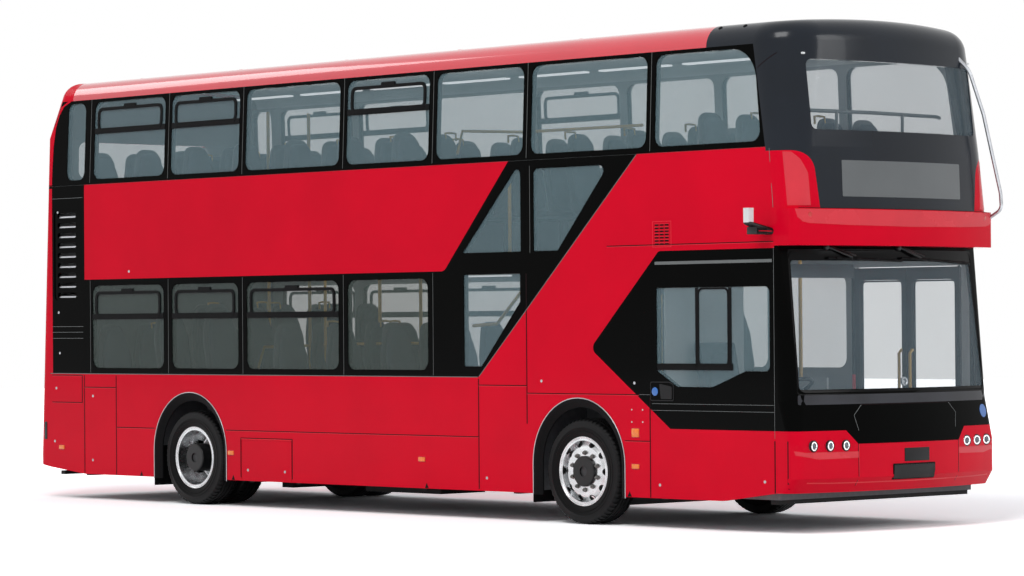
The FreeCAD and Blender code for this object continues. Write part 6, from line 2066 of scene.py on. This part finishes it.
# Paint on the CAD nodes
@dataclass
class Paintwork:
    """Finishes of the CAD nodes.

    Attributes:
        nodes: The frame's nodes.
        lining: Distance from the middle within which a side's face is lined, in metres.
        hub: Radius of the dark hub in millimetres.
        barrel_from: Smallest radius of the shaded front barrel.
        barrel_to: Largest radius of it.
    """

    nodes: dict[str, bpy.types.Object]
    lining: float = 1.262
    hub: float = 139.0
    barrel_from: float = 205.0
    barrel_to: float = 266.0

    def looks(self) -> dict[str, Look]:
        """Finish of each CAD node.

        Returns:
            The finishes by the nodes' names.
        """
        table = {
            Look.RED_TOP: "roof_panel",
            Look.RED: "offside_skirt nearside_skirt red_side_panels rear_lower_panel rear_upper_panel "
                      "front_bumper front_cheeks front_brow side_flap rear_cover",
            Look.BLACK: "offside_lower_band nearside_lower_band upper_window_bands windscreen_surround "
                        "side_louvre",
            Look.DOME: "front_dome",
            Look.PANE: "side_glass rear_glass",
            Look.SCREEN: "windscreens",
            Look.FLOOR: "lower_floor upper_floor staircase",
            Look.FABRIC: "saloon_seats driver_seat",
            Look.WALL: "cab_partition",
            Look.CAB: "driver_controls",
            Look.YELLOW: "handrails",
            Look.FRAME: "chassis_frame battery_pack underfloor_boxes",
            Look.IRON: "front_axle knuckle_offside knuckle_nearside rear_axle",
            Look.RIM: "front_wheel_offside front_wheel_nearside rear_wheels_offside rear_wheels_nearside",
            Look.TYRE: "front_tyre_offside front_tyre_nearside rear_tyres_offside rear_tyres_nearside",
            Look.LENS: "headlamps",
            Look.RED_LENS: "rear_lamps",
            Look.AMBER: "side_markers",
            Look.WHITE: "camera_arms",
            Look.STEEL: "branch_guard tow_sockets",
            Look.HUB: "exit_leaf_rear exit_leaf_front entrance_leaf_rear entrance_leaf_front",
        }
        return {name: look for look, names in table.items() for name in names.split()}

    def dress(self) -> None:
        """Puts the finishes on the nodes."""
        for name, look in self.looks().items():
            mesh = self.nodes[name].data
            mesh.materials.clear()
            mesh.materials.append(look.value.material())
        self._inner_walls()
        self._leaves()
        self._wheels()
        tint(self.nodes["side_glass"], Look.PANE_LOW, lambda place, normal: place.z < 2.3 and place.x < 1.2)
        tint(self.nodes["camera_arms"], Look.HUB, lambda place, normal: place.z < 2.58)

    def _inner_walls(self) -> None:
        """Pale linings on the faces that look into the saloons."""
        for name in ("offside_skirt nearside_skirt red_side_panels offside_lower_band nearside_lower_band "
                     "upper_window_bands").split():
            tint(self.nodes[name], Look.WALL, lambda place, normal: faces_in(place, normal, 0.5)
                 and abs(place.y) < self.lining)
        for name in ("rear_lower_panel", "rear_upper_panel"):
            tint(self.nodes[name], Look.WALL, lambda place, normal: normal.x > 0.5
                 or (faces_in(place, normal, 0.5) and normal.x > -0.3))
        for name in ("front_brow", "front_bumper", "front_cheeks", "windscreen_surround"):
            tint(self.nodes[name], Look.CAB, lambda place, normal: normal.x < -0.3)
        tint(self.nodes["roof_panel"], Look.CEILING,
             lambda place, normal: normal.z < -0.2 or faces_in(place, normal, 0.2))
        tint(self.nodes["front_dome"], Look.CAB, lambda place, normal: normal.x < -0.3)
        tint(self.nodes["upper_floor"], Look.CEILING, lambda place, normal: normal.z < -0.5)

    def _leaves(self) -> None:
        """Glass of the door leaves."""
        frame = Vector((0.05, 0, 0.10))
        for name in ("exit_leaf_rear", "exit_leaf_front", "entrance_leaf_rear", "entrance_leaf_front"):
            low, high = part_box(name)
            tint(self.nodes[name], Look.SCREEN,
                 lambda place, normal, low=low + frame, high=high - frame: low.x < place.x < high.x
                 and low.z < place.z < high.z and abs(normal.y) > 0.9)

    def _wheels(self) -> None:
        """Dark hubs, with painted shade in darker metal on the walls of the front hand holes and on the inner
        sides of the wheels.
        """
        for word in ("offside", "nearside"):
            for name, axle, inner in ((f"front_wheel_{word}", FRONT_AXLE, 1.02),
                                      (f"rear_wheels_{word}", REAR_AXLE, 0.93)):
                # Darker metal in the hand holes and on the wheels' inner sides: painted shade.
                tint(self.nodes[name], Look.RIM_SHADE,
                     lambda place, normal, axle=axle, inner=inner: abs(place.y) < inner
                     or (axle > 0 and abs(normal.y) < 0.5
                         and self.barrel_from < from_axle(place, axle) < self.barrel_to))
                tint(self.nodes[name], Look.HUB,
                     lambda place, normal, axle=axle: from_axle(place, axle) < self.hub)


def main() -> None:
    """Builds the looks."""
    logging.basicConfig(level=logging.INFO, format="%(name)s %(message)s")
    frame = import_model()
    bpy.context.scene.view_settings.view_transform = "Standard"
    Studio().build()
    nodes = frame["nodes"]
    Paintwork(nodes).dress()
    shell = Skin(nodes, SKIN_NODES)
    SideSeams(shell, nodes).build()
    WindowTrim(nodes, shell).build()
    ArchTrim().build()
    NoseDetails(shell, nodes).build()
    TopDetails(shell).build()
    TailDetails(shell, nodes).build()
    RoadWheels(nodes).build()
    DoorTrim(nodes).build()
    ArmDetails(nodes).build()
    SaloonSeats(nodes).build()
    SaloonFittings().build()
    CabInterior(nodes).build()


if __name__ == "__main__":
    main()
